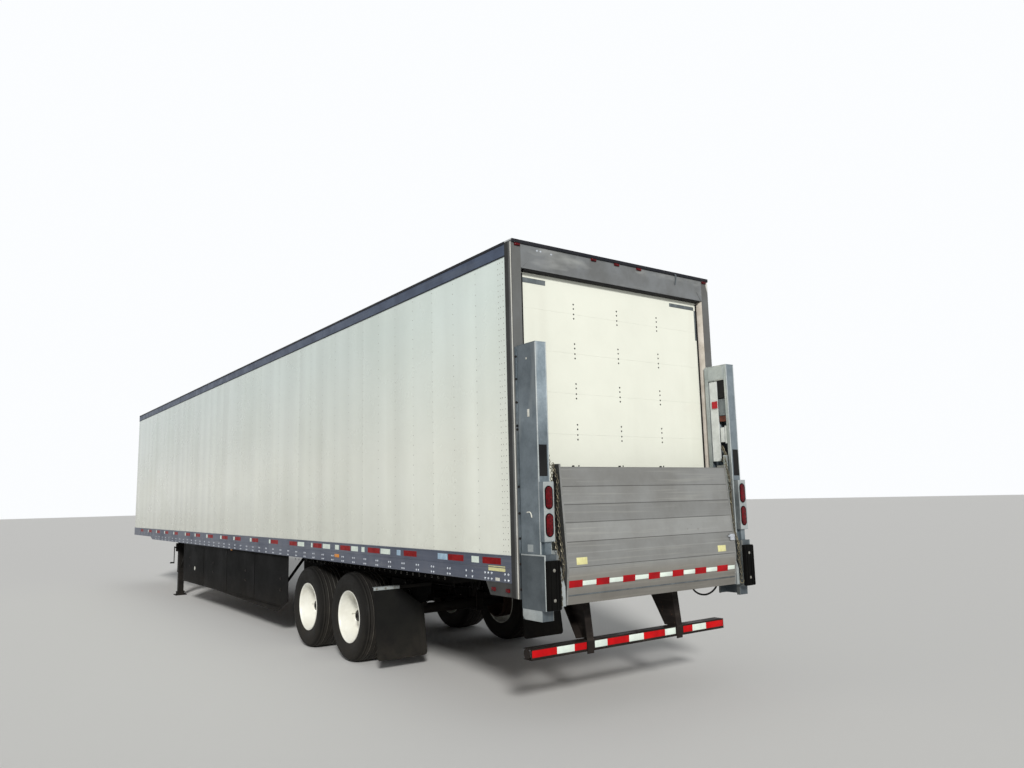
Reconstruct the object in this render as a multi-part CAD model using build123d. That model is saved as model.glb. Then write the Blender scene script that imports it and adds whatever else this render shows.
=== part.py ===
from build123d import *
import math
import os

# Semi trailer: a closed van body on two axles with single wide tyres, side skirts, landing legs and
# a column lift whose platform is stowed upright behind the roll-up door.
# Lengths are in millimetres. While it is modelled, X runs forward from the rear face of the rear
# frame, Y to the left and Z up from the road. When a piece is written it moves along X so that the
# origin lies on the road under the middle of the whole trailer.

# Van body
BODY_LENGTH = 16154.0
BODY_WIDTH = 2591.0
BODY_HEIGHT = 4115.0
WALL_THICK = 50.0
SKIN_INSET = 5.0
NOSE_CORNER_R = 130.0
RAIL_WALL = 10.0
BOTTOM_RAIL_Z = 1124.0
BOTTOM_RAIL_HEIGHT = 231.0
BOTTOM_RAIL_LIP = 45.0
TOP_RAIL_HEIGHT = 128.0
ROOF_SKIN = 12.0
ROOF_BOW_DEPTH = 40.0
FLOOR_THICK = 35.0
CROSSMEMBER_DEPTH = 102.0
CROSSMEMBER_FLANGE = 57.0
CROSSMEMBER_WEB = 5.0
CROSSMEMBER_PITCH = 305.0
FIRST_CROSSMEMBER = 85.0

# Rear frame and roll-up door
REAR_FRAME_DEPTH = 110.0
REAR_POST_WIDTH = 100.0
REAR_POST_Z = 1005.0
HEADER_HEIGHT = 243.0
CORNER_BOX_LENGTH = 390.0
CORNER_BOX_WIDTH = 80.0
CORNER_BOX_HEIGHT = 114.0
CORNER_BOX_SLANT = 70.0
DOOR_SETBACK = 60.0
DOOR_THICK = 30.0
DOOR_SIDE_GAP = 5.0
DOOR_TOP_GAP = 15.0
DOOR_PANEL_HEIGHT = 375.5
DOOR_PANEL_COUNT = 7
DOOR_PANEL_GAP = 0.6

# Coupling end
COUPLER_Z = 1180.0
COUPLER_LENGTH = 1950.0
COUPLER_PLATE = 10.0
COUPLER_RAMP = 200.0
KINGPIN_SETBACK = 914.0
KINGPIN_COLLAR_R = 36.5
KINGPIN_COLLAR = 20.0
KINGPIN_NECK_R = 25.4
KINGPIN_NECK = 38.0
KINGPIN_HEAD_R = 35.7
KINGPIN_HEAD = 26.0
KINGPIN_PLUG_R = 40.0
KINGPIN_FLANGE_R = 60.0
KINGPIN_FLANGE = 8.0
KINGPIN_CLEARANCE = 8.0
CONNECTOR_Z = 1560.0
CONNECTOR_WIDTH = 420.0
CONNECTOR_HEIGHT = 190.0
CONNECTOR_DEPTH = 30.0
GLADHAND_SPREAD = 290.0
GLADHAND_R = 30.0
GLADHAND_REACH = 38.0
SOCKET_R = 38.0
SOCKET_REACH = 34.0

# Landing legs
LEG_X = 12550.0
LEG_INSET = 295.5
LEG_TUBE = 125.0
LEG_TUBE_BOTTOM = 470.0
LEG_INNER = 105.0
LEG_FOOT_SIZE = 220.0
LEG_FOOT_THICK = 16.0
LEG_FOOT_HEIGHT = 70.0
LEG_BRACE = 50.0
LEG_BRACE_REACH = 780.0
LEG_SHAFT_R = 16.0
LEG_SHAFT_Z = 985.0
CRANK_REACH = 90.0
CRANK_DROP = 330.0

# Side skirts
SKIRT_BACK_X = 5530.0
SKIRT_FRONT_X = 11350.0
SKIRT_BOTTOM_Z = 390.0
SKIRT_THICK = 6.0
SKIRT_INSET = 53.5
SKIRT_CHAMFER_X = 300.0
SKIRT_CHAMFER_Z = 110.0
SKIRT_STRUT_PITCH = 1220.0
SKIRT_STRUT_WIDTH = 40.0
SKIRT_STRUT_REACH = 420.0
SKIRT_STRUT_Z = 600.0

# Wheels and tyres
REAR_AXLE_X = 3455.0
AXLE_SPACING = 1270.0
TYRE_R = 509.0
TYRE_WIDTH = 425.0
TYRE_INSET = 6.0
TREAD_WIDTH = 220.0
SHOULDER_WIDTH = 380.0
RIM_SEAT_R = 286.0
RIM_FLANGE_R = 298.0
RIM_WIDTH = 384.0
RIM_WALL = 9.0
DISC_OFFSET = 48.0
DISC_THICK = 12.0
HUB_R = 105.0
HUB_OUT = 135.0
HUB_CAP_R = 72.0
HUB_IN = 60.0
DRUM_R = 212.0
DRUM_WIDTH = 215.0
DRUM_WALL = 14.0
HAND_HOLE_R = 34.0
HAND_HOLE_PCD = 420.0
HAND_HOLE_COUNT = 5
SPINDLE_R = 45.0
RUNNING_GAP = 0.3

# Axles and air suspension
AXLE_TUBE_R = 63.5
SLIDER_BACK_X = 2350.0
SLIDER_FRONT_X = 5850.0
SLIDER_Y = 520.0
SLIDER_RAIL_WIDTH = 80.0
SLIDER_RAIL_HEIGHT = 130.0
BODY_RAIL_BACK_X = 1150.0
BODY_RAIL_FRONT_X = 7650.0
BODY_RAIL_HEIGHT = 120.0
SECTION_WALL = 8.0
SLIDER_CROSS = 90.0
ARM_WIDTH = 70.0
ARM_LEAD = 560.0
ARM_PIVOT_Z = 640.0
ARM_DEPTH = 100.0
SEAT_HALF = 95.0
SEAT_DROP = 85.0
SPRING_TRAIL = 390.0
SPRING_SEAT_Z = 650.0
SPRING_SEAT_THICK = 40.0
SPRING_R = 122.0
SPRING_PISTON_R = 88.0
HANGER_TOP_HALF = 130.0
HANGER_FOOT_HALF = 62.0
HANGER_DROP = 90.0
SHOCK_R = 34.0
SHOCK_ROD_R = 26.0
SHOCK_Y = 440.0
CHAMBER_R = 86.0
CHAMBER_LENGTH = 190.0
CHAMBER_Y = 330.0
CAM_R = 18.0
TANK_R = 120.0
TANK_LENGTH = 760.0
TANK_X = 6350.0

# Mud flaps
FLAP_X = 2740.0
FLAP_THICK = 7.0
FLAP_INSET = 0.5
FLAP_WIDTH = 615.0
FLAP_BOTTOM_Z = 125.0
FLAP_TOP_Z = 860.0
FLAP_CHAMFER_Y = 275.0
FLAP_CHAMFER_Z = 210.0
FLAP_CORNER_R = 40.0
FLAP_LEAN = 110.0
FLAP_BAR = 35.0

# Rear guard
GUARD_Z = 504.0
GUARD_HEIGHT = 92.0
GUARD_DEPTH = 110.0
GUARD_INSET = 89.5
GUARD_SETBACK = -20.0
GUARD_WALL = 6.0
GUARD_POST_Y = 562.0
GUARD_POST_WIDTH = 75.0
GUARD_POST_PLATE = 8.0
GUARD_POST_FOOT_Z = 484.0
GUARD_POST_FRONT_X = 460.0

# Lift columns
COLUMN_INSET = 14.5
COLUMN_WIDTH = 116.0
COLUMN_REAR_X = -283.0
COLUMN_FRONT_X = -25.0
COLUMN_BOTTOM_Z = 850.0
COLUMN_TOP_Z = 3135.0
COLUMN_WALL = 6.0
COLUMN_REAR_LIP = 36.0
COLUMN_FRONT_LIP = 18.0
COLUMN_FLANGE = 8.0
COLUMN_FLANGE_INSET = 5.5
COLUMN_SPACER_WIDTH = 60.0
COLUMN_HEAD = 150.0
COVER_Z = 937.0
COVER_HEIGHT = 440.0
COVER_REAR_X = -345.0
COVER_PLATE = 6.0
BUMPER_DEPTH = 40.0
BUMPER_HEIGHT = 390.0
LAMP_BOX_Z = 1480.0
LAMP_BOX_HEIGHT = 484.0
LAMP_BOX_DEPTH = 55.0
LAMP_BOX_WIDTH = 109.0
LAMP_BRACKET_WIDTH = 60.0
LAMP_BRACKET_DEPTH = 32.0
TAIL_LAMP_WIDTH = 65.0
TAIL_LAMP_HEIGHT = 176.0
TAIL_LAMP_DEPTH = 8.0
LOWER_TAIL_LAMP_Z = 1613.0
UPPER_TAIL_LAMP_Z = 1835.0
CYLINDER_R = 36.0
CYLINDER_X = -100.0
CYLINDER_BOTTOM_Z = 2230.0

# Lift carriage
RUNNER_GAP = 6.0
RUNNER_BOTTOM_Z = 960.0
RUNNER_HEIGHT = 1000.0
NECK_GAP = 6.0
PAD_HEIGHT = 120.0
ARM_PLATE_THICK = 36.0
ARM_PLATE_TOP_Z = 1400.0
ARM_PLATE_FOOT_TOP_Z = 1110.0
CROSS_TUBE_DEPTH = 90.0
CROSS_TUBE_HEIGHT = 110.0
CROSS_TUBE_FRONT_X = -60.0
HINGE_PIN_R = 15.0
CHAIN_POST_TOP_Z = 2215.0
CHAIN_POST_THICK = 10.0

# Platform, stowed upright
PLATFORM_SIDE_GAP = 100.0
PLATFORM_GAP = 10.0
SIDE_BAR = 20.0
SIDE_BAR_FRONT_X = -195.0
SIDE_BAR_TOP_Z = 2112.0
DECK_X = -220.0
HINGE_X = -275.0
HINGE_Z = 1035.0
PLATFORM_BOTTOM_Z = 965.0
TIP_REAR_X = -280.0
BEND_REAR_X = -342.0
KNEE_REAR_X = -350.0
HEEL_REAR_X = -322.0
PLANK_EDGES_Z = [1030.0, 1250.0, 1372.0, 1467.0, 1620.0, 1771.0, 1925.0, 2083.0]
BEND_INDEX = 2
KNEE_INDEX = 1
PLANK_GAP = 0.6

# Chains from the carriage to the platform
CHAIN_INSET = 36.0
CHAIN_LINK = 32.0
CHAIN_LINK_WIDTH = 26.0
CHAIN_LINK_THICK = 9.0
CHAIN_GAP = 0.3
CHAIN_EYE = 14.0
CHAIN_ROUTE = [(-222.0, 2198.5), (-264.0, 2040.0), (-282.0, 1500.0), (-330.0, 1350.0), (-345.0, 990.0)]

# Hose that hangs in a loop below the rear frame, as (y, z) points of its route
HOSE_R = 9.0
HOSE_X = 35.0
HOSE_ROUTE = [(-812.0, 1003.0), (-832.0, 915.0), (-925.0, 852.0), (-1040.0, 833.0), (-1150.0, 862.0),
              (-1222.0, 925.0), (-1238.0, 1003.0)]

# Power pack of the lift
POWER_BOX_X = 7200.0
POWER_BOX_LENGTH = 800.0
POWER_BOX_INSET = 145.5
POWER_BOX_HEIGHT = 434.0

# Marker lamps
MARKER_LENGTH = 62.0
MARKER_HEIGHT = 24.0
MARKER_DEPTH = 14.0
HEADER_MARKER_DROP = 47.0
HEADER_MARKER_INSET = 59.5
HEADER_MARKER_PITCH = 300.0
MID_MARKER_X = 8077.0
MID_MARKER_WIDTH = 28.0
SIDE_LAMP_DEPTH = 12.0
RAIL_LAMP_DEPTH = 7.0

# Worked out from the sizes above
HALF = BODY_WIDTH / 2.0
RAIL_INNER_Y = HALF - RAIL_WALL
SKIN_Y = HALF - SKIN_INSET
WALL_INNER_Y = SKIN_Y - WALL_THICK
RAIL_TOP_Z = BOTTOM_RAIL_Z + BOTTOM_RAIL_HEIGHT
CROSSMEMBER_Z = BOTTOM_RAIL_Z + RAIL_WALL
FLOOR_Z = CROSSMEMBER_Z + CROSSMEMBER_DEPTH
FLOOR_TOP_Z = FLOOR_Z + FLOOR_THICK
TOP_RAIL_TOP_Z = BODY_HEIGHT - ROOF_SKIN
TOP_RAIL_Z = TOP_RAIL_TOP_Z - TOP_RAIL_HEIGHT
SIDE_END_X = BODY_LENGTH - NOSE_CORNER_R
COUPLER_BACK_X = BODY_LENGTH - COUPLER_LENGTH
KINGPIN_X = BODY_LENGTH - KINGPIN_SETBACK
POST_INNER_Y = HALF - REAR_POST_WIDTH
HEADER_Z = TOP_RAIL_TOP_Z - HEADER_HEIGHT
DOOR_HALF = POST_INNER_Y - DOOR_SIDE_GAP
LEG_Y = HALF - LEG_INSET
SKIRT_Y = HALF - SKIRT_INSET - SKIRT_THICK
TYRE_Y = HALF - TYRE_INSET - TYRE_WIDTH / 2.0
DISC_Y = TYRE_Y - DISC_OFFSET
FLAP_OUTER_Y = HALF - FLAP_INSET
GUARD_HALF = HALF - GUARD_INSET
DOOR_TOP_Z = HEADER_Z - DOOR_TOP_GAP
AXLES_X = [REAR_AXLE_X, REAR_AXLE_X + AXLE_SPACING]
SLIDER_TOP_Z = CROSSMEMBER_Z - BODY_RAIL_HEIGHT
SLIDER_Z = SLIDER_TOP_Z - SLIDER_RAIL_HEIGHT
SLIDER_INNER_Y = SLIDER_Y - SLIDER_RAIL_WIDTH / 2.0
SLIDER_OUTER_Y = SLIDER_Y + SLIDER_RAIL_WIDTH / 2.0
ARM_BOTTOM_Z = TYRE_R + AXLE_TUBE_R + 6.0
COLUMN_OUTER_Y = HALF - COLUMN_INSET
COLUMN_INNER_Y = COLUMN_OUTER_Y - COLUMN_WIDTH
COLUMN_FLANGE_Y = HALF - COLUMN_FLANGE_INSET
PLATFORM_HALF = COLUMN_INNER_Y - PLATFORM_SIDE_GAP
CHAIN_Y = COLUMN_INNER_Y - CHAIN_INSET
POWER_BOX_Y = POWER_BOX_INSET - HALF
HEADER_MARKER_Z = BODY_HEIGHT - HEADER_MARKER_DROP
COVER_Y = COLUMN_OUTER_Y + 2.0
LAMP_BOX_Y = COLUMN_OUTER_Y - LAMP_BOX_WIDTH / 2.0

# Small lamps on the outside of the corner boxes and the rails: X, Z, length, height, depth
SIDE_LAMPS = [
    (164.0, 1062.0, 56.0, 38.0, SIDE_LAMP_DEPTH),
    (377.0, 1062.0, 56.0, 38.0, SIDE_LAMP_DEPTH),
    (3740.0, 1200.0, 130.0, 44.0, RAIL_LAMP_DEPTH),
]
BUMPER_REAR_X = COVER_REAR_X - BUMPER_DEPTH
RUNNER_REAR_X = COLUMN_REAR_X + COLUMN_WALL + RUNNER_GAP
RUNNER_FRONT_X = COLUMN_FRONT_X - COLUMN_WALL - RUNNER_GAP
NECK_REAR_X = COLUMN_REAR_X + COLUMN_REAR_LIP + NECK_GAP
NECK_FRONT_X = COLUMN_FRONT_X - COLUMN_FRONT_LIP - NECK_GAP
RUNNER_TOP_Z = RUNNER_BOTTOM_Z + RUNNER_HEIGHT
ARM_PLATE_INNER_Y = PLATFORM_HALF + PLATFORM_GAP
ARM_PLATE_OUTER_Y = ARM_PLATE_INNER_Y + ARM_PLATE_THICK
NOSE_FACE_X = BODY_LENGTH - SKIN_INSET
FRONT_TIP_X = NOSE_FACE_X + CONNECTOR_DEPTH + GLADHAND_REACH
ORIGIN_X = (FRONT_TIP_X + BUMPER_REAR_X) / 2.0


def block(x0, x1, y0, y1, z0, z1):
    """A box between two corners."""
    middle = Pos((x0 + x1) / 2.0, (y0 + y1) / 2.0, (z0 + z1) / 2.0)
    return middle * Box(abs(x1 - x0), abs(y1 - y0), abs(z1 - z0))


def mirrored(solid):
    """The same piece on the right-hand side."""
    return mirror(solid, about=Plane.XZ)


def both_sides(solids):
    """The left-hand pieces and their mirror images."""
    return solids + [mirrored(solid) for solid in solids]


def side_plate(points, y0, y1):
    """An outline of (x, z) points made a plate from y0 to y1."""
    outline = Polyline([(x, 0.0, z) for x, z in points], close=True)
    face = make_face(outline)
    return Pos(0.0, y0, 0.0) * extrude(face, amount=y1 - y0, dir=(0, 1, 0))


def cross_plate(points, x0, x1):
    """An outline of (y, z) points made a plate or a rail from x0 to x1."""
    outline = Polyline([(0.0, y, z) for y, z in points], close=True)
    face = make_face(outline)
    return Pos(x0, 0.0, 0.0) * extrude(face, amount=x1 - x0, dir=(1, 0, 0))


def round_bar(x, y0, y1, z, radius):
    """A round bar along Y."""
    centre = Pos(x, (y0 + y1) / 2.0, z)
    return centre * Rot(90, 0, 0) * Cylinder(radius, abs(y1 - y0))


def lathe_y(points, x, z):
    """A turned piece on an axle along Y, from (radius, y) points."""
    outline = Polyline([(radius, y, 0.0) for radius, y in points], close=True)
    ring = revolve(make_face(outline), axis=Axis.Y)
    return Pos(x, 0.0, z) * ring


def nose_outline(half_width, back_x, front_x, corner_r):
    """Plan of a body layer with its two front corners rounded."""
    length = front_x - back_x
    plan = Pos((back_x + front_x) / 2.0, 0.0) * Rectangle(length, 2.0 * half_width)
    front_corners = plan.vertices().group_by(Axis.X)[-1]
    return fillet(front_corners, corner_r)


def nose_band(inset, thick, z0, z1):
    """The part of a wall or rail that turns round the nose, open to the rear."""
    outer = nose_outline(HALF - inset, SIDE_END_X, BODY_LENGTH - inset, NOSE_CORNER_R - inset)
    inner_half = HALF - inset - thick
    inner_r = NOSE_CORNER_R - inset - thick
    inner = nose_outline(inner_half, SIDE_END_X, BODY_LENGTH - inset - thick, inner_r)
    return Pos(0.0, 0.0, z0) * extrude(outer - inner, amount=z1 - z0)


def floor_deck():
    """Floor boards from the rear frame to the nose, with rounded front corners."""
    straight = block(REAR_FRAME_DEPTH, SIDE_END_X, -RAIL_INNER_Y, RAIL_INNER_Y, FLOOR_Z, FLOOR_TOP_Z)
    nose_wall = SKIN_INSET + WALL_THICK
    plan = nose_outline(HALF - nose_wall, SIDE_END_X, BODY_LENGTH - nose_wall, NOSE_CORNER_R - nose_wall)
    return [straight + Pos(0.0, 0.0, FLOOR_Z) * extrude(plan, amount=FLOOR_THICK)]


def i_beam(x, z0, z1, flange):
    """One floor crossmember between the bottom rails."""
    top = block(x - flange / 2.0, x + flange / 2.0, -RAIL_INNER_Y, RAIL_INNER_Y, z1 - CROSSMEMBER_WEB, z1)
    web = block(x - CROSSMEMBER_WEB / 2.0, x + CROSSMEMBER_WEB / 2.0, -RAIL_INNER_Y, RAIL_INNER_Y, z0, z1)
    foot = block(x - flange / 2.0, x + flange / 2.0, -RAIL_INNER_Y, RAIL_INNER_Y, z0, z0 + CROSSMEMBER_WEB)
    return top + web + foot


def crossmembers():
    """The row of crossmembers, shallow ones over the coupler plate that keep clear of the kingpin."""
    beams = []
    clear = KINGPIN_FLANGE_R + CROSSMEMBER_FLANGE / 2.0 + KINGPIN_CLEARANCE
    x = REAR_FRAME_DEPTH + FIRST_CROSSMEMBER
    while x < SIDE_END_X - CROSSMEMBER_FLANGE:
        if x < COUPLER_BACK_X - COUPLER_RAMP:
            beams.append(i_beam(x, CROSSMEMBER_Z, FLOOR_Z, CROSSMEMBER_FLANGE))
        elif x > COUPLER_BACK_X + CROSSMEMBER_FLANGE:
            side = 1.0 if x > KINGPIN_X else -1.0
            placed = x if abs(x - KINGPIN_X) > clear else KINGPIN_X + side * clear
            beams.append(i_beam(placed, COUPLER_Z + COUPLER_PLATE, FLOOR_Z, CROSSMEMBER_FLANGE))
        x += CROSSMEMBER_PITCH
    return beams


def bottom_rails():
    """Side rails: a web with a cap under the wall and a lip under the crossmembers."""
    ramp_x = COUPLER_BACK_X - COUPLER_RAMP
    web_points = [
        (REAR_FRAME_DEPTH, BOTTOM_RAIL_Z),
        (ramp_x, BOTTOM_RAIL_Z),
        (COUPLER_BACK_X, COUPLER_Z),
        (SIDE_END_X, COUPLER_Z),
        (SIDE_END_X, RAIL_TOP_Z),
        (REAR_FRAME_DEPTH, RAIL_TOP_Z),
    ]
    web = side_plate(web_points, RAIL_INNER_Y, HALF)
    cap = block(REAR_FRAME_DEPTH, SIDE_END_X, WALL_INNER_Y, HALF, RAIL_TOP_Z - RAIL_WALL, RAIL_TOP_Z)
    lip_y = HALF - BOTTOM_RAIL_LIP
    lip = block(REAR_FRAME_DEPTH, ramp_x, lip_y, HALF, BOTTOM_RAIL_Z, CROSSMEMBER_Z)
    front_lip = block(COUPLER_BACK_X, SIDE_END_X, lip_y, HALF, COUPLER_Z, COUPLER_Z + COUPLER_PLATE)
    return both_sides([web + cap + lip + front_lip])


def side_walls():
    """Both side walls, each as thick as skin, posts and lining together."""
    wall = block(REAR_FRAME_DEPTH, SIDE_END_X, WALL_INNER_Y, SKIN_Y, RAIL_TOP_Z, TOP_RAIL_Z)
    return both_sides([wall])


def top_rails():
    """Top rails: a web outside and a ledge on the wall's top."""
    web = block(REAR_FRAME_DEPTH, SIDE_END_X, RAIL_INNER_Y, HALF, TOP_RAIL_Z, TOP_RAIL_TOP_Z)
    ledge = block(REAR_FRAME_DEPTH, SIDE_END_X, WALL_INNER_Y, HALF, TOP_RAIL_Z, TOP_RAIL_Z + RAIL_WALL)
    return both_sides([web + ledge])


def roof_panel():
    """Roof sheet over the whole plan, with its bows as one layer between the top rails."""
    skin_plan = nose_outline(HALF, 0.0, BODY_LENGTH, NOSE_CORNER_R)
    skin = Pos(0.0, 0.0, TOP_RAIL_TOP_Z) * extrude(skin_plan, amount=ROOF_SKIN)
    bow_z = TOP_RAIL_TOP_Z - ROOF_BOW_DEPTH
    bows = block(REAR_FRAME_DEPTH, SIDE_END_X, -RAIL_INNER_Y, RAIL_INNER_Y, bow_z, TOP_RAIL_TOP_Z)
    return [skin + bows]


def nose_wall():
    """Front wall with its two rounded corners."""
    return [nose_band(SKIN_INSET, WALL_THICK, RAIL_TOP_Z, TOP_RAIL_Z)]


def nose_rails():
    """Bottom and top rails round the nose."""
    thick = SKIN_INSET + WALL_THICK
    bottom = nose_band(0.0, thick, COUPLER_Z, RAIL_TOP_Z)
    top = nose_band(0.0, thick, TOP_RAIL_Z, TOP_RAIL_TOP_Z)
    return [bottom, top]


def rear_posts():
    """Corner posts of the rear frame, each with the small box behind the side rail."""
    post = block(0.0, REAR_FRAME_DEPTH, POST_INNER_Y, HALF, REAR_POST_Z, TOP_RAIL_TOP_Z)
    box_end = REAR_FRAME_DEPTH + CORNER_BOX_LENGTH
    box_z = BOTTOM_RAIL_Z - CORNER_BOX_HEIGHT
    outline = [
        (REAR_FRAME_DEPTH, box_z),
        (box_end - CORNER_BOX_SLANT, box_z),
        (box_end, BOTTOM_RAIL_Z),
        (REAR_FRAME_DEPTH, BOTTOM_RAIL_Z),
    ]
    corner_box = side_plate(outline, HALF - CORNER_BOX_WIDTH, HALF)
    return both_sides([post + corner_box])


def rear_cross_rails():
    """Header over the door and sill under it."""
    header = block(0.0, REAR_FRAME_DEPTH, -POST_INNER_Y, POST_INNER_Y, HEADER_Z, TOP_RAIL_TOP_Z)
    sill = block(0.0, REAR_FRAME_DEPTH, -POST_INNER_Y, POST_INNER_Y, REAR_POST_Z, FLOOR_TOP_Z)
    return [header, sill]


def door_panels():
    """Panels of the roll-up door, closed. The top one is cut short by the header."""
    panels = []
    top_joint = DOOR_TOP_Z - (DOOR_TOP_Z - FLOOR_TOP_Z) % DOOR_PANEL_HEIGHT
    first_joint = top_joint - (DOOR_PANEL_COUNT - 2) * DOOR_PANEL_HEIGHT
    edges = [FLOOR_TOP_Z]
    edges += [first_joint + row * DOOR_PANEL_HEIGHT for row in range(DOOR_PANEL_COUNT - 1)]
    edges.append(DOOR_TOP_Z)
    for low, high in zip(edges[:-1], edges[1:]):
        top = high if high == DOOR_TOP_Z else high - DOOR_PANEL_GAP
        panels.append(block(DOOR_SETBACK, DOOR_SETBACK + DOOR_THICK, -DOOR_HALF, DOOR_HALF, low, top))
    return panels


def upper_coupler():
    """Coupler plate under the nose, between the lips of the side rails, with the kingpin's hole."""
    plate_half = HALF - BOTTOM_RAIL_LIP
    plate_top = COUPLER_Z + COUPLER_PLATE
    plate = block(COUPLER_BACK_X, SIDE_END_X, -plate_half, plate_half, COUPLER_Z, plate_top)
    hole = Cylinder(KINGPIN_PLUG_R + RUNNING_GAP, 4.0 * COUPLER_PLATE)
    return [plate - Pos(KINGPIN_X, 0.0, COUPLER_Z) * hole]


def kingpin():
    """Kingpin: a flange on the coupler plate, a plug in it, then collar, neck and head below it."""
    plate_top = COUPLER_Z + COUPLER_PLATE
    collar_z = COUPLER_Z - KINGPIN_COLLAR
    neck_z = collar_z - KINGPIN_NECK
    head_z = neck_z - KINGPIN_HEAD
    points = [
        (0.0, plate_top + KINGPIN_FLANGE),
        (KINGPIN_FLANGE_R, plate_top + KINGPIN_FLANGE),
        (KINGPIN_FLANGE_R, plate_top),
        (KINGPIN_PLUG_R, plate_top),
        (KINGPIN_PLUG_R, COUPLER_Z),
        (KINGPIN_COLLAR_R, COUPLER_Z),
        (KINGPIN_COLLAR_R, collar_z),
        (KINGPIN_NECK_R, collar_z),
        (KINGPIN_NECK_R, neck_z),
        (KINGPIN_HEAD_R, neck_z),
        (KINGPIN_HEAD_R, head_z + 6.0),
        (KINGPIN_HEAD_R - 6.0, head_z),
        (0.0, head_z),
    ]
    outline = Polyline([(radius, 0.0, z) for radius, z in points], close=True)
    return [Pos(KINGPIN_X, 0.0, 0.0) * revolve(make_face(outline), axis=Axis.Z)]


def front_connectors():
    """Box on the nose with the electric socket between the two air couplings."""
    back = block(
        NOSE_FACE_X,
        NOSE_FACE_X + CONNECTOR_DEPTH,
        -CONNECTOR_WIDTH / 2.0,
        CONNECTOR_WIDTH / 2.0,
        CONNECTOR_Z - CONNECTOR_HEIGHT / 2.0,
        CONNECTOR_Z + CONNECTOR_HEIGHT / 2.0,
    )
    front_x = NOSE_FACE_X + CONNECTOR_DEPTH
    turned = Rot(0, 90, 0)
    for y in (-GLADHAND_SPREAD / 2.0, GLADHAND_SPREAD / 2.0):
        coupling = Cylinder(GLADHAND_R, GLADHAND_REACH)
        back += Pos(front_x + GLADHAND_REACH / 2.0, y, CONNECTOR_Z) * turned * coupling
    socket = Cylinder(SOCKET_R, SOCKET_REACH)
    back += Pos(front_x + SOCKET_REACH / 2.0, 0.0, CONNECTOR_Z) * turned * socket
    return [back]


def landing_legs():
    """Left and right legs: outer tube, inner tube and foot, standing on the road."""
    half = LEG_TUBE / 2.0
    outer = block(LEG_X - half, LEG_X + half, LEG_Y - half, LEG_Y + half, LEG_TUBE_BOTTOM, CROSSMEMBER_Z)
    inner_half = LEG_INNER / 2.0
    inner = block(
        LEG_X - inner_half,
        LEG_X + inner_half,
        LEG_Y - inner_half,
        LEG_Y + inner_half,
        LEG_FOOT_THICK,
        LEG_TUBE_BOTTOM,
    )
    foot_half = LEG_FOOT_SIZE / 2.0
    sole = block(
        LEG_X - foot_half,
        LEG_X + foot_half,
        LEG_Y - foot_half,
        LEG_Y + foot_half,
        0.0,
        LEG_FOOT_THICK,
    )
    cheek_points = [
        (LEG_X - foot_half, LEG_FOOT_THICK),
        (LEG_X + foot_half, LEG_FOOT_THICK),
        (LEG_X + inner_half, LEG_FOOT_HEIGHT),
        (LEG_X - inner_half, LEG_FOOT_HEIGHT),
    ]
    cheeks = side_plate(cheek_points, LEG_Y - inner_half - 10.0, LEG_Y + inner_half + 10.0)
    return both_sides([outer + inner + sole + cheeks])


def landing_braces():
    """Braces from the legs up to the floor, the cross shaft, the cross brace and the folded crank."""
    half = LEG_TUBE / 2.0
    brace_half = LEG_BRACE / 2.0
    brace_points = [
        (LEG_X - half, LEG_TUBE_BOTTOM + 90.0),
        (LEG_X - half, LEG_TUBE_BOTTOM + 90.0 + LEG_BRACE * 1.3),
        (LEG_X - LEG_BRACE_REACH + LEG_BRACE * 1.6, CROSSMEMBER_Z),
        (LEG_X - LEG_BRACE_REACH, CROSSMEMBER_Z),
    ]
    fore_aft = side_plate(brace_points, LEG_Y - brace_half, LEG_Y + brace_half)
    inner_y = LEG_Y - half
    shaft = round_bar(LEG_X, -inner_y, inner_y, LEG_SHAFT_Z, LEG_SHAFT_R)
    cross_points = [
        (-inner_y, LEG_TUBE_BOTTOM + 60.0),
        (-inner_y, LEG_TUBE_BOTTOM + 60.0 + LEG_BRACE),
        (inner_y, LEG_TUBE_BOTTOM + 240.0 + LEG_BRACE),
        (inner_y, LEG_TUBE_BOTTOM + 240.0),
    ]
    cross_brace = cross_plate(cross_points, LEG_X - 8.0, LEG_X + 8.0)
    crank_y = LEG_Y + half
    crank_shaft = round_bar(LEG_X, crank_y, crank_y + CRANK_REACH, LEG_SHAFT_Z, LEG_SHAFT_R)
    arm_y = crank_y + CRANK_REACH
    crank_low = LEG_SHAFT_Z - CRANK_DROP
    crank_arm = block(LEG_X - 15.0, LEG_X + 15.0, arm_y - 12.0, arm_y, crank_low, LEG_SHAFT_Z + 20.0)
    return both_sides([fore_aft]) + [shaft, cross_brace, crank_shaft + crank_arm]


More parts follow.
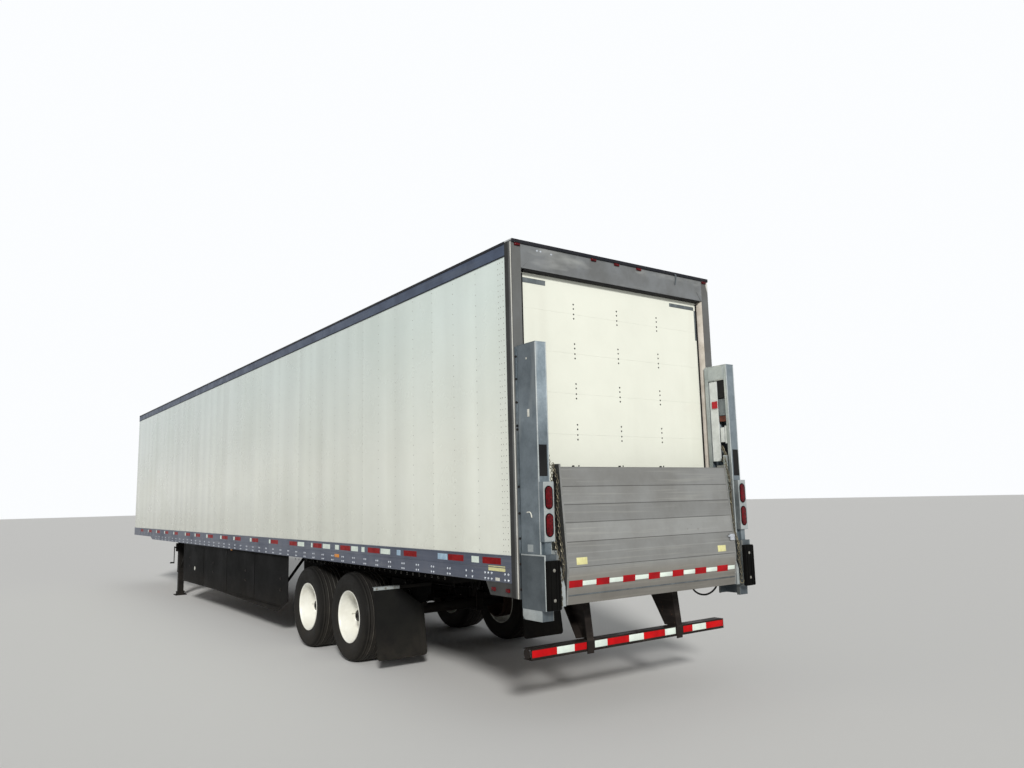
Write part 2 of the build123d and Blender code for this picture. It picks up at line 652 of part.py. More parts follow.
def side_skirts():
    """Skirt panels hung inside the rails, with the struts that hold them."""
    chamfer_x = SKIRT_BACK_X + SKIRT_CHAMFER_X
    points = [
        (SKIRT_BACK_X, CROSSMEMBER_Z),
        (SKIRT_BACK_X, SKIRT_BOTTOM_Z + SKIRT_CHAMFER_Z),
        (chamfer_x, SKIRT_BOTTOM_Z),
        (SKIRT_FRONT_X, SKIRT_BOTTOM_Z),
        (SKIRT_FRONT_X, CROSSMEMBER_Z),
    ]
    panel = side_plate(points, SKIRT_Y, SKIRT_Y + SKIRT_THICK)
    x = SKIRT_BACK_X + SKIRT_CHAMFER_X
    while x < SKIRT_FRONT_X:
        strut_points = [
            (SKIRT_Y, SKIRT_STRUT_Z),
            (SKIRT_Y, SKIRT_STRUT_Z + SKIRT_STRUT_WIDTH),
            (SKIRT_Y - SKIRT_STRUT_REACH + SKIRT_STRUT_WIDTH, CROSSMEMBER_Z),
            (SKIRT_Y - SKIRT_STRUT_REACH, CROSSMEMBER_Z),
        ]
        panel += cross_plate(strut_points, x - SKIRT_STRUT_WIDTH / 2.0, x + SKIRT_STRUT_WIDTH / 2.0)
        x += SKIRT_STRUT_PITCH
    return both_sides([panel])


def channel_rail(x0, x1, z0, z1):
    """A channel along X, open outwards, on the left side of the bogie."""
    web = block(x0, x1, SLIDER_INNER_Y, SLIDER_INNER_Y + SECTION_WALL, z0, z1)
    low = block(x0, x1, SLIDER_INNER_Y, SLIDER_OUTER_Y, z0, z0 + SECTION_WALL)
    high = block(x0, x1, SLIDER_INNER_Y, SLIDER_OUTER_Y, z1 - SECTION_WALL, z1)
    return web + low + high


def body_slide_rails():
    """Rails under the floor that the bogie slides along."""
    return both_sides([channel_rail(BODY_RAIL_BACK_X, BODY_RAIL_FRONT_X, SLIDER_TOP_Z, CROSSMEMBER_Z)])


def slider_frame():
    """Bogie frame: two channels, cross tubes and the hangers that hold the trailing arms."""
    frame = channel_rail(SLIDER_BACK_X, SLIDER_FRONT_X, SLIDER_Z, SLIDER_TOP_Z)
    frame += mirrored(frame)
    tube_low = SLIDER_Z + 15.0
    tube_xs = [SLIDER_BACK_X + SLIDER_CROSS, SLIDER_FRONT_X - SLIDER_CROSS]
    tube_xs += [axle_x + ARM_LEAD for axle_x in AXLES_X]
    for x in tube_xs:
        half = SLIDER_CROSS / 2.0
        frame += block(x - half, x + half, -SLIDER_INNER_Y, SLIDER_INNER_Y, tube_low, tube_low + SLIDER_CROSS)
    for axle_x in AXLES_X:
        pivot_x = axle_x + ARM_LEAD
        points = [
            (pivot_x - HANGER_TOP_HALF, SLIDER_Z),
            (pivot_x + HANGER_TOP_HALF, SLIDER_Z),
            (pivot_x + HANGER_FOOT_HALF, ARM_PIVOT_Z - HANGER_DROP),
            (pivot_x - HANGER_FOOT_HALF, ARM_PIVOT_Z - HANGER_DROP),
        ]
        inner_cheek = side_plate(points, SLIDER_INNER_Y - SECTION_WALL, SLIDER_INNER_Y)
        outer_cheek = side_plate(points, SLIDER_OUTER_Y, SLIDER_OUTER_Y + SECTION_WALL)
        bridge = block(
            pivot_x - HANGER_TOP_HALF,
            pivot_x + HANGER_TOP_HALF,
            SLIDER_INNER_Y - SECTION_WALL,
            SLIDER_OUTER_Y + SECTION_WALL,
            SLIDER_Z - SECTION_WALL,
            SLIDER_Z,
        )
        hanger = inner_cheek + outer_cheek + bridge
        frame += hanger
        frame += mirrored(hanger)
    return [frame]


def trailing_arms():
    """Arms over the axles, from the hanger's pivot to the air spring's seat."""
    arms = []
    inner = SLIDER_Y - ARM_WIDTH / 2.0
    outer = SLIDER_Y + ARM_WIDTH / 2.0
    for axle_x in AXLES_X:
        pivot_x = axle_x + ARM_LEAD
        seat_x = axle_x - SPRING_TRAIL
        seat_top = SPRING_SEAT_Z
        seat_bottom = SPRING_SEAT_Z - SPRING_SEAT_THICK
        points = [
            (pivot_x + 45.0, ARM_PIVOT_Z - 45.0),
            (pivot_x + 45.0, ARM_PIVOT_Z + 45.0),
            (axle_x + SEAT_HALF, ARM_BOTTOM_Z + ARM_DEPTH),
            (axle_x - SEAT_HALF, ARM_BOTTOM_Z + ARM_DEPTH),
            (axle_x - SEAT_HALF - 80.0, seat_top),
            (seat_x - SPRING_PISTON_R, seat_top),
            (seat_x - SPRING_PISTON_R, seat_bottom),
            (axle_x - SEAT_HALF - 40.0, seat_bottom - 25.0),
            (axle_x - SEAT_HALF, ARM_BOTTOM_Z),
            (axle_x + SEAT_HALF, ARM_BOTTOM_Z),
        ]
        arm = side_plate(points, inner, outer)
        saddle = block(
            axle_x - SEAT_HALF,
            axle_x + SEAT_HALF,
            inner,
            outer,
            TYRE_R - SEAT_DROP,
            ARM_BOTTOM_Z,
        )
        saddle -= round_bar(axle_x, inner - 1.0, outer + 1.0, TYRE_R, AXLE_TUBE_R + RUNNING_GAP)
        bushing = round_bar(
            pivot_x,
            SLIDER_INNER_Y + RUNNING_GAP,
            SLIDER_OUTER_Y - RUNNING_GAP,
            ARM_PIVOT_Z,
            40.0,
        )
        arms.append(arm + saddle + bushing)
    return both_sides(arms)


def air_springs():
    """Rolling-lobe air springs between the arms and the bogie frame."""
    springs = []
    height = SLIDER_Z - SPRING_SEAT_Z
    points = [
        (0.0, 0.0),
        (SPRING_PISTON_R, 0.0),
        (SPRING_PISTON_R, height * 0.32),
        (SPRING_R - 8.0, height * 0.36),
        (SPRING_R, height * 0.5),
        (SPRING_R, height * 0.82),
        (SPRING_R - 12.0, height * 0.93),
        (SPRING_R - 30.0, height),
        (0.0, height),
    ]
    outline = Polyline([(radius, 0.0, z) for radius, z in points], close=True)
    spring = revolve(make_face(outline), axis=Axis.Z)
    for axle_x in AXLES_X:
        springs.append(Pos(axle_x - SPRING_TRAIL, SLIDER_Y, SPRING_SEAT_Z) * spring)
    return both_sides(springs)


def shock_absorbers():
    """Dampers beside the arms, pinned to the arm and to the bogie frame."""
    shocks = []
    for axle_x in AXLES_X:
        low = Vector(axle_x - SEAT_HALF + 35.0, SHOCK_Y, ARM_BOTTOM_Z + 30.0)
        high = Vector(axle_x - SEAT_HALF - 95.0, SHOCK_Y, SLIDER_Z + 45.0)
        span = high - low
        axis_plane = Plane(origin=low, z_dir=span)
        rod = axis_plane * Pos(0, 0, span.length * 0.3) * Cylinder(SHOCK_ROD_R, span.length * 0.6)
        body = axis_plane * Pos(0, 0, span.length * 0.7) * Cylinder(SHOCK_R, span.length * 0.6)
        low_pin = round_bar(low.X, SHOCK_Y, SLIDER_Y - ARM_WIDTH / 2.0, low.Z, 16.0)
        high_pin = round_bar(high.X, SHOCK_Y, SLIDER_INNER_Y, high.Z, 16.0)
        shocks.append(rod + body + low_pin + high_pin)
    return both_sides(shocks)


def axles():
    """Axle tubes with their spindles, brake cam tubes and brake chambers."""
    solids = []
    drum_inner_y = DISC_Y - DISC_THICK / 2.0 - DRUM_WIDTH
    tube_end = drum_inner_y - 20.0
    spindle_end = DISC_Y + HUB_OUT - 30.0
    for axle_x in AXLES_X:
        beam = round_bar(axle_x, -tube_end, tube_end, TYRE_R, AXLE_TUBE_R)
        beam += round_bar(axle_x, -spindle_end, spindle_end, TYRE_R, SPINDLE_R)
        for side in (-1.0, 1.0):
            chamber_x = axle_x + AXLE_TUBE_R + 60.0
            cam_x = axle_x + SEAT_HALF + CAM_R + 6.0
            cam = round_bar(cam_x, side * (CHAMBER_Y - 60.0), side * (tube_end - 2.0), TYRE_R, CAM_R)
            bracket_x = axle_x + AXLE_TUBE_R - 12.0
            bracket = block(
                bracket_x,
                chamber_x,
                side * (CHAMBER_Y - 70.0),
                side * (CHAMBER_Y + 70.0),
                TYRE_R - 30.0,
                TYRE_R + 30.0,
            )
            backing = block(
                axle_x - 30.0,
                cam_x + CAM_R,
                side * (tube_end - 12.0),
                side * tube_end,
                TYRE_R - 55.0,
                TYRE_R + 55.0,
            )
            middle = Pos(chamber_x + CHAMBER_LENGTH / 2.0, side * CHAMBER_Y, TYRE_R + 20.0)
            chamber = middle * Rot(0, 90, 0) * Cylinder(CHAMBER_R, CHAMBER_LENGTH)
            beam += cam + bracket + backing + chamber
        solids.append(beam)
    return solids


def air_tanks():
    """Air tank across the body ahead of the bogie, on two straps."""
    tank = round_bar(TANK_X, -TANK_LENGTH / 2.0, TANK_LENGTH / 2.0, CROSSMEMBER_Z - TANK_R - 40.0, TANK_R)
    for side in (-1.0, 1.0):
        y = side * TANK_LENGTH * 0.3
        tank += block(TANK_X - 30.0, TANK_X + 30.0, y - 15.0, y + 15.0, CROSSMEMBER_Z - 60.0, CROSSMEMBER_Z)
    return [tank]


def tyre(axle_x, side):
    """A wide single tyre, with plain tread."""
    half = TYRE_WIDTH / 2.0
    tread = TREAD_WIDTH / 2.0
    shoulder = SHOULDER_WIDTH / 2.0
    seat = RIM_WIDTH / 2.0 - 14.0
    right_half = [
        (TYRE_R, tread),
        (TYRE_R - 8.0, shoulder - 30.0),
        (TYRE_R - 21.0, shoulder),
        (TYRE_R - 48.0, shoulder + 12.0),
        (TYRE_R - 100.0, half),
        (TYRE_R - 150.0, half - 3.0),
        (RIM_FLANGE_R + 10.0, seat + 14.0),
        (RIM_FLANGE_R + 1.0, seat - 1.0),
        (RIM_SEAT_R + RUNNING_GAP, seat - 1.0),
    ]
    points = [(radius, TYRE_Y + y) for radius, y in right_half]
    points += [(radius, TYRE_Y - y) for radius, y in reversed(right_half)]
    ring = lathe_y(points, axle_x, TYRE_R)
    return [ring if side > 0 else mirrored(ring)]


def wheel(axle_x, side):
    """Deep-dish steel wheel with its hub and brake drum, turning on the spindle."""
    out_y = TYRE_Y + RIM_WIDTH / 2.0
    in_y = TYRE_Y - RIM_WIDTH / 2.0
    barrel = lathe_y(
        [
            (RIM_FLANGE_R, out_y),
            (RIM_FLANGE_R, out_y - 12.0),
            (RIM_SEAT_R, out_y - 14.0),
            (RIM_SEAT_R, in_y + 14.0),
            (RIM_FLANGE_R, in_y + 12.0),
            (RIM_FLANGE_R, in_y),
            (RIM_SEAT_R - RIM_WALL, in_y),
            (RIM_SEAT_R - RIM_WALL, out_y),
        ],
        axle_x,
        TYRE_R,
    )
    disc_out = DISC_Y + DISC_THICK / 2.0
    disc_in = DISC_Y - DISC_THICK / 2.0
    drum_in = disc_in - DRUM_WIDTH
    bore = SPINDLE_R + RUNNING_GAP
    cap_y = DISC_Y + HUB_OUT
    centre = lathe_y(
        [
            (bore, disc_in - HUB_IN),
            (HUB_R, disc_in - HUB_IN),
            (HUB_R, disc_in - DRUM_WALL),
            (DRUM_R - DRUM_WALL, disc_in - DRUM_WALL),
            (DRUM_R - DRUM_WALL, drum_in),
            (DRUM_R, drum_in),
            (DRUM_R, disc_in),
            (RIM_SEAT_R - RIM_WALL, disc_in),
            (RIM_SEAT_R - RIM_WALL, disc_out),
            (HUB_R, disc_out),
            (HUB_R - 12.0, disc_out + HUB_OUT * 0.45),
            (HUB_CAP_R, disc_out + HUB_OUT * 0.5),
            (HUB_CAP_R, cap_y - 8.0),
            (HUB_CAP_R - 10.0, cap_y),
            (0.0, cap_y),
            (0.0, cap_y - 16.0),
            (bore, cap_y - 16.0),
        ],
        axle_x,
        TYRE_R,
    )
    body = barrel + centre
    for hole in range(HAND_HOLE_COUNT):
        angle = math.radians(360.0 * hole / HAND_HOLE_COUNT)
        x = axle_x + HAND_HOLE_PCD / 2.0 * math.sin(angle)
        z = TYRE_R + HAND_HOLE_PCD / 2.0 * math.cos(angle)
        body -= round_bar(x, disc_in + 0.01, disc_out + 5.0, z, HAND_HOLE_R)
    return [body if side > 0 else mirrored(body)]


def mud_flaps():
    """Flaps behind the rear wheels that lean, so that their feet lie further to the rear."""
    top = FLAP_TOP_Z
    inner_y = FLAP_OUTER_Y - FLAP_WIDTH
    points = [
        (FLAP_OUTER_Y, FLAP_BOTTOM_Z),
        (FLAP_OUTER_Y, top),
        (inner_y + FLAP_CHAMFER_Y, top),
        (inner_y, top - FLAP_CHAMFER_Z),
        (inner_y, FLAP_BOTTOM_Z),
    ]
    foot_x = FLAP_X - FLAP_LEAN
    form = cross_plate(points, foot_x - 1.0, FLAP_X + FLAP_THICK + 1.0)
    low_edges = form.edges().filter_by(Axis.X).group_by(Axis.Z)[0]
    profile = [
        (FLAP_X, top),
        (FLAP_X + FLAP_THICK, top),
        (foot_x + FLAP_THICK, FLAP_BOTTOM_Z),
        (foot_x, FLAP_BOTTOM_Z),
    ]
    sheet = side_plate(profile, inner_y, FLAP_OUTER_Y)
    return both_sides([sheet & fillet(low_edges, FLAP_CORNER_R)])


def flap_hangers():
    """Bars that hold the flaps, from the bogie frame outwards."""
    top = FLAP_TOP_Z + FLAP_BAR
    bar = block(FLAP_X, FLAP_X + FLAP_BAR, SLIDER_OUTER_Y, FLAP_OUTER_Y, FLAP_TOP_Z, top)
    return both_sides([bar])


def rear_guard():
    """Guard bar with its two tapered posts from the rear sill and the floor."""
    rear = GUARD_SETBACK
    top = GUARD_Z + GUARD_HEIGHT
    bar = block(rear, rear + GUARD_WALL, -GUARD_HALF, GUARD_HALF, GUARD_Z, top)
    bar += block(rear, rear + GUARD_DEPTH, -GUARD_HALF, GUARD_HALF, GUARD_Z, GUARD_Z + GUARD_WALL)
    bar += block(rear, rear + GUARD_DEPTH, -GUARD_HALF, GUARD_HALF, top - GUARD_WALL, top)
    plate = GUARD_POST_PLATE
    slope_foot = rear + GUARD_DEPTH + 30.0
    inner_y = GUARD_POST_Y - GUARD_POST_WIDTH / 2.0
    outer_y = GUARD_POST_Y + GUARD_POST_WIDTH / 2.0
    rear_points = [
        (rear - plate, GUARD_POST_FOOT_Z),
        (rear, GUARD_POST_FOOT_Z),
        (rear, top),
        (25.0 + plate, REAR_POST_Z),
        (25.0, REAR_POST_Z),
        (rear - plate, top),
    ]
    front_points = [
        (slope_foot - plate, top),
        (slope_foot + plate, top),
        (GUARD_POST_FRONT_X, CROSSMEMBER_Z),
        (GUARD_POST_FRONT_X - 2.0 * plate, CROSSMEMBER_Z),
    ]
    web_points = [
        (rear, top),
        (slope_foot, top),
        (GUARD_POST_FRONT_X - plate, CROSSMEMBER_Z),
        (REAR_FRAME_DEPTH, CROSSMEMBER_Z),
        (REAR_FRAME_DEPTH, REAR_POST_Z),
        (25.0, REAR_POST_Z),
    ]
    post = side_plate(rear_points, inner_y, outer_y)
    post += side_plate(front_points, inner_y, outer_y)
    post += side_plate(web_points, inner_y, inner_y + plate)
    return [bar + post + mirrored(post)]


def lift_columns():
    """Lift columns: channels open inwards, with mounting plate, head plate, cover and lamp box."""
    inner = COLUMN_INNER_Y
    outer = COLUMN_OUTER_Y
    wall = COLUMN_WALL
    rear = COLUMN_REAR_X
    front = COLUMN_FRONT_X
    channel = block(rear, front, outer - wall, outer, COLUMN_BOTTOM_Z, COLUMN_TOP_Z)
    channel += block(rear, rear + wall, inner, outer, COLUMN_BOTTOM_Z, COLUMN_TOP_Z)
    channel += block(front - wall, front, inner, outer, COLUMN_BOTTOM_Z, COLUMN_TOP_Z)
    channel += block(rear, rear + COLUMN_REAR_LIP, inner, inner + wall, COLUMN_BOTTOM_Z, COLUMN_TOP_Z)
    channel += block(front - COLUMN_FRONT_LIP, front, inner, inner + wall, COLUMN_BOTTOM_Z, COLUMN_TOP_Z)
    channel += block(rear, front, inner, outer, COLUMN_TOP_Z - wall, COLUMN_TOP_Z)
    channel += block(rear, front, inner, inner + wall, COLUMN_TOP_Z - COLUMN_HEAD, COLUMN_TOP_Z)
    spacer_y = inner + COLUMN_SPACER_WIDTH
    channel += block(front, -COLUMN_FLANGE, inner, spacer_y, REAR_POST_Z, COLUMN_TOP_Z)
    channel += block(-COLUMN_FLANGE, 0.0, inner, COLUMN_FLANGE_Y, REAR_POST_Z, COLUMN_TOP_Z)
    cover_top = COVER_Z + COVER_HEIGHT
    channel += block(COVER_REAR_X, front, outer, COVER_Y + COVER_PLATE, COVER_Z, cover_top)
    channel += block(COVER_REAR_X, rear, inner - 8.0, outer, COVER_Z, cover_top)
    lamp_rear = rear - LAMP_BOX_DEPTH
    lamp_top = LAMP_BOX_Z + LAMP_BOX_HEIGHT
    boxes = [
        (lamp_rear, LAMP_BOX_WIDTH, LAMP_BOX_Z, lamp_top),
        (rear - LAMP_BRACKET_DEPTH, LAMP_BRACKET_WIDTH, cover_top, LAMP_BOX_Z),
    ]
    for x0, width, z0, z1 in boxes:
        channel += block(x0, rear, LAMP_BOX_Y - width / 2.0, LAMP_BOX_Y + width / 2.0, z0, z1)
    return both_sides([channel])


def lift_cylinders():
    """Lift cylinders in the upper part of the columns, hung from the head plate."""
    y = COLUMN_INNER_Y + COLUMN_WIDTH / 2.0
    top = COLUMN_TOP_Z - COLUMN_WALL
    length = top - CYLINDER_BOTTOM_Z
    barrel = Pos(CYLINDER_X, y, CYLINDER_BOTTOM_Z + length / 2.0) * Cylinder(CYLINDER_R, length)
    return both_sides([barrel])


def dock_bumpers():
    """Rubber blocks on the lower covers of the columns."""
    z0 = COVER_Z + 5.0
    block_y = COVER_Y + COVER_PLATE
    bumper = block(BUMPER_REAR_X, COVER_REAR_X, COLUMN_INNER_Y - 8.0, block_y, z0, z0 + BUMPER_HEIGHT)
    return both_sides([bumper])


def oval_lamp(x, y, z, depth):
    """An upright oval lamp that stands out to the rear of x."""
    straight = TAIL_LAMP_HEIGHT - TAIL_LAMP_WIDTH
    upright = Plane(origin=(x, y, z), x_dir=(0, 0, 1), z_dir=(-1, 0, 0))
    return extrude(upright * SlotCenterToCenter(straight, TAIL_LAMP_WIDTH), amount=depth)


def lamps():
    """Tail lamps on the columns and marker lamps round the body."""
    solids = []
    lamp_x = COLUMN_REAR_X - LAMP_BOX_DEPTH
    for z in (LOWER_TAIL_LAMP_Z, UPPER_TAIL_LAMP_Z):
        solids.append(oval_lamp(lamp_x, LAMP_BOX_Y, z, TAIL_LAMP_DEPTH))
    half_length = MARKER_LENGTH / 2.0
    half_height = MARKER_HEIGHT / 2.0
    mid_y = HALF - BOTTOM_RAIL_LIP / 2.0
    mid = block(
        MID_MARKER_X - half_length,
        MID_MARKER_X + half_length,
        mid_y - MID_MARKER_WIDTH / 2.0,
        mid_y + MID_MARKER_WIDTH / 2.0,
        BOTTOM_RAIL_Z - MARKER_HEIGHT,
        BOTTOM_RAIL_Z,
    )
    solids.append(mid)
    for x, z, length, height, depth in SIDE_LAMPS:
        low = z - height / 2.0
        solids.append(block(x - length / 2.0, x + length / 2.0, HALF, HALF + depth, low, low + height))
    pairs = both_sides(solids)
    outer_y = HALF - HEADER_MARKER_INSET
    for y in (outer_y, HEADER_MARKER_PITCH, 0.0, -HEADER_MARKER_PITCH, -outer_y):
        low = HEADER_MARKER_Z - half_height
        pairs.append(block(-MARKER_DEPTH, 0.0, y - half_length, y + half_length, low, low + MARKER_HEIGHT))
    return pairs


def arm_plate():
    """Inner plate of the left runner: it reaches back to the hinge pin and forward to the cross tube."""
    rear_x = HINGE_X - 55.0
    points = [
        (rear_x, RUNNER_BOTTOM_Z),
        (CROSS_TUBE_FRONT_X, RUNNER_BOTTOM_Z),
        (CROSS_TUBE_FRONT_X, ARM_PLATE_TOP_Z),
        (NECK_REAR_X, ARM_PLATE_TOP_Z),
        (rear_x, ARM_PLATE_FOOT_TOP_Z),
    ]
    return side_plate(points, ARM_PLATE_INNER_Y, ARM_PLATE_OUTER_Y)


def lift_carriage():
    """Runners in both columns, their arm plates, hinge pins, chain posts and the cross tube."""
    inner = COLUMN_INNER_Y + COLUMN_WALL + RUNNER_GAP
    outer = COLUMN_OUTER_Y - COLUMN_WALL - RUNNER_GAP
    runner = block(RUNNER_REAR_X, RUNNER_FRONT_X, inner, outer, RUNNER_BOTTOM_Z, RUNNER_TOP_Z)
    neck = block(NECK_REAR_X, NECK_FRONT_X, ARM_PLATE_OUTER_Y, inner, RUNNER_BOTTOM_Z, ARM_PLATE_TOP_Z)
    pad_z = RUNNER_TOP_Z - PAD_HEIGHT
    pad_inner = inner + 20.0
    pad_outer = outer - 20.0
    front_pad_x = COLUMN_FRONT_X - COLUMN_WALL - RUNNING_GAP
    rear_pad_x = COLUMN_REAR_X + COLUMN_WALL + RUNNING_GAP
    pads = block(RUNNER_FRONT_X, front_pad_x, pad_inner, pad_outer, pad_z, RUNNER_TOP_Z)
    pads += block(rear_pad_x, RUNNER_REAR_X, pad_inner, pad_outer, pad_z, RUNNER_TOP_Z)
    pin = round_bar(HINGE_X, PLATFORM_HALF - SIDE_BAR, ARM_PLATE_OUTER_Y, HINGE_Z, HINGE_PIN_R)
    post_y = COLUMN_INNER_Y - PLATFORM_GAP
    post = block(
        NECK_REAR_X,
        NECK_REAR_X + 45.0,
        post_y - CHAIN_POST_THICK,
        post_y,
        ARM_PLATE_TOP_Z - 60.0,
        CHAIN_POST_TOP_Z,
    )
    eye_x = CHAIN_ROUTE[0][0]
    eye_z = CHAIN_POST_TOP_Z - CHAIN_EYE
    eye = block(eye_x - 8.0, eye_x + 8.0, CHAIN_Y - 8.0, post_y, eye_z, CHAIN_POST_TOP_Z)
    half = runner + neck + pads + arm_plate() + pin + post + eye
    tube = block(
        CROSS_TUBE_FRONT_X - CROSS_TUBE_DEPTH,
        CROSS_TUBE_FRONT_X,
        -ARM_PLATE_INNER_Y,
        ARM_PLATE_INNER_Y,
        RUNNER_BOTTOM_Z,
        RUNNER_BOTTOM_Z + CROSS_TUBE_HEIGHT,
    )
    return [half + mirrored(half) + tube]


def rear_skin_x(z):
    """Where the platform's outer skin lies at a height, while it is stowed."""
    knee_z = PLANK_EDGES_Z[KNEE_INDEX]
    bend_z = PLANK_EDGES_Z[BEND_INDEX]
    tip_z = PLANK_EDGES_Z[-1]
    rows = [
        (PLATFORM_BOTTOM_Z, HEEL_REAR_X),
        (knee_z, KNEE_REAR_X),
        (bend_z, BEND_REAR_X),
        (tip_z, TIP_REAR_X),
    ]
    for (low_z, low_x), (high_z, high_x) in zip(rows[:-1], rows[1:]):
        if z <= high_z:
            return low_x + (high_x - low_x) * (z - low_z) / (high_z - low_z)
    return TIP_REAR_X


def platform_planks():
    """Planks across the platform between its side bars."""
    planks = []
    edges = [PLATFORM_BOTTOM_Z] + PLANK_EDGES_Z
    half = PLATFORM_HALF - SIDE_BAR - PLANK_GAP
    for low, high in zip(edges[:-1], edges[1:]):
        top = high - PLANK_GAP
        points = [
            (DECK_X, low),
            (DECK_X, top),
            (rear_skin_x(top), top),
            (rear_skin_x(low), low),
        ]
        planks.append(side_plate(points, -half, half))
    return planks


def platform_sides():
    """Side bars of the platform, each with the bore for its hinge pin."""
    inner = PLATFORM_HALF - SIDE_BAR
    knee_z = PLANK_EDGES_Z[KNEE_INDEX]
    bend_z = PLANK_EDGES_Z[BEND_INDEX]
    points = [
        (SIDE_BAR_FRONT_X, PLATFORM_BOTTOM_Z + 20.0),
        (SIDE_BAR_FRONT_X, SIDE_BAR_TOP_Z),
        (rear_skin_x(SIDE_BAR_TOP_Z), SIDE_BAR_TOP_Z),
        (rear_skin_x(bend_z), bend_z),
        (rear_skin_x(knee_z), knee_z),
        (rear_skin_x(PLATFORM_BOTTOM_Z), PLATFORM_BOTTOM_Z),
        (DECK_X, PLATFORM_BOTTOM_Z),
    ]
    bar = side_plate(points, inner, PLATFORM_HALF)
    bar -= round_bar(HINGE_X, inner - 1.0, PLATFORM_HALF + 1.0, HINGE_Z, HINGE_PIN_R + RUNNING_GAP)
    return both_sides([bar])


def chain_point(distance):
    """The point (x, z) at a distance down the chain's route."""
    left = distance
    for (x0, z0), (x1, z1) in zip(CHAIN_ROUTE[:-1], CHAIN_ROUTE[1:]):
        length = math.hypot(x1 - x0, z1 - z0)
        if left <= length:
            share = left / length
            return x0 + (x1 - x0) * share, z0 + (z1 - z0) * share
        left -= length
    return CHAIN_ROUTE[-1]


def platform_chains():
    """Chains that hang from the carriage beside the platform, link by link."""
    links = []
    runs = zip(CHAIN_ROUTE[:-1], CHAIN_ROUTE[1:])
    total = sum(math.dist(start, end) for start, end in runs)
    for number in range(int(total / CHAIN_LINK)):
        x0, z0 = chain_point(number * CHAIN_LINK)
        x1, z1 = chain_point((number + 1) * CHAIN_LINK)
        angle = math.degrees(math.atan2(x1 - x0, z1 - z0))
        wide = CHAIN_LINK_WIDTH if number % 2 else CHAIN_LINK_THICK
        deep = CHAIN_LINK_THICK if number % 2 else CHAIN_LINK_WIDTH
        length = math.hypot(x1 - x0, z1 - z0) - CHAIN_GAP
        centre = Pos((x0 + x1) / 2.0, CHAIN_Y, (z0 + z1) / 2.0)
        links.append(centre * Rot(0, angle, 0) * Box(deep, wide, length))
    return both_sides(links)


def hose_radii():
    """Bend radius at each inner point of the hose's route, as large as its runs allow."""
    radii = []
    for start, corner, end in zip(HOSE_ROUTE[:-2], HOSE_ROUTE[1:-1], HOSE_ROUTE[2:]):
        into = Vector(0.0, corner[0] - start[0], corner[1] - start[1])
        out = Vector(0.0, end[0] - corner[0], end[1] - corner[1])
        turn = math.radians(into.get_angle(out))
        shorter = min(into.length, out.length)
        radii.append(0.45 * shorter / math.tan(turn / 2.0))
    return radii


def hanging_hose():
    """Loop of hose on the right, held at both ends under the rear frame."""
    points = [(HOSE_X, y, z) for y, z in HOSE_ROUTE]
    route = FilletPolyline(*points, radius=hose_radii())
    section = Plane(origin=points[0], z_dir=route % 0) * Circle(HOSE_R)
    return [sweep(section, path=route)]


def power_box():
    """Box with the pump and the batteries of the lift, under the floor on the right."""
    low = CROSSMEMBER_Z - POWER_BOX_HEIGHT
    front = POWER_BOX_X + POWER_BOX_LENGTH
    return [block(POWER_BOX_X, front, POWER_BOX_Y, -SLIDER_OUTER_Y, low, CROSSMEMBER_Z)]


PIECES = {
    "floor_deck": floor_deck,
    "crossmembers": crossmembers,
    "bottom_rails": bottom_rails,
    "side_walls": side_walls,
    "top_rails": top_rails,
    "roof_panel": roof_panel,
    "nose_wall": nose_wall,
    "nose_rails": nose_rails,
    "rear_posts": rear_posts,
    "rear_cross_rails": rear_cross_rails,
    "door_panels": door_panels,
    "upper_coupler": upper_coupler,
    "kingpin": kingpin,
    "front_connectors": front_connectors,
    "landing_legs": landing_legs,
    "landing_braces": landing_braces,
    "side_skirts": side_skirts,
    "body_slide_rails": body_slide_rails,
    "slider_frame": slider_frame,
    "trailing_arms": trailing_arms,
    "air_springs": air_springs,
    "shock_absorbers": shock_absorbers,
    "axles": axles,
    "air_tanks": air_tanks,
    "mud_flaps": mud_flaps,
    "flap_hangers": flap_hangers,
    "rear_guard": rear_guard,
    "lift_columns": lift_columns,
    "lift_cylinders": lift_cylinders,
    "dock_bumpers": dock_bumpers,
    "lamps": lamps,
    "lift_carriage": lift_carriage,
    "platform_planks": platform_planks,
    "platform_sides": platform_sides,
    "platform_chains": platform_chains,
    "hanging_hose": hanging_hose,
    "power_box": power_box,
}

WHEEL_PLACES = {
    "rear_left": (AXLES_X[0], 1),
    "rear_right": (AXLES_X[0], -1),
    "front_left": (AXLES_X[1], 1),
    "front_right": (AXLES_X[1], -1),
}


def write(name, solids):
    """Move a node's solids to the trailer's origin and write them to one file."""
    placed = [Pos(-ORIGIN_X, 0.0, 0.0) * solid for solid in solids]
    shape = placed[0] if len(placed) == 1 else Compound(children=placed)
    export_step(shape, os.path.join("parts", name + ".step"))


os.makedirs("parts", exist_ok=True)
for piece_name, build in PIECES.items():
    write(piece_name, build())
for place, (wheel_x, wheel_side) in WHEEL_PLACES.items():
    write("tyre_" + place, tyre(wheel_x, wheel_side))
    write("wheel_" + place, wheel(wheel_x, wheel_side))
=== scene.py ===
"""Looks of the semi trailer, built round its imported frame.

Lengths are in metres. X runs forward, Y to the left and Z up from the road. Places along the trailer
are given as distances from the rear face of the body, and rear() turns them into the frame's X.
"""
import logging
import math
from contextlib import contextmanager
from dataclasses import dataclass
from enum import Enum
from typing import Callable, Iterator, Sequence

import bmesh
import bpy
from mathutils import Matrix, Vector


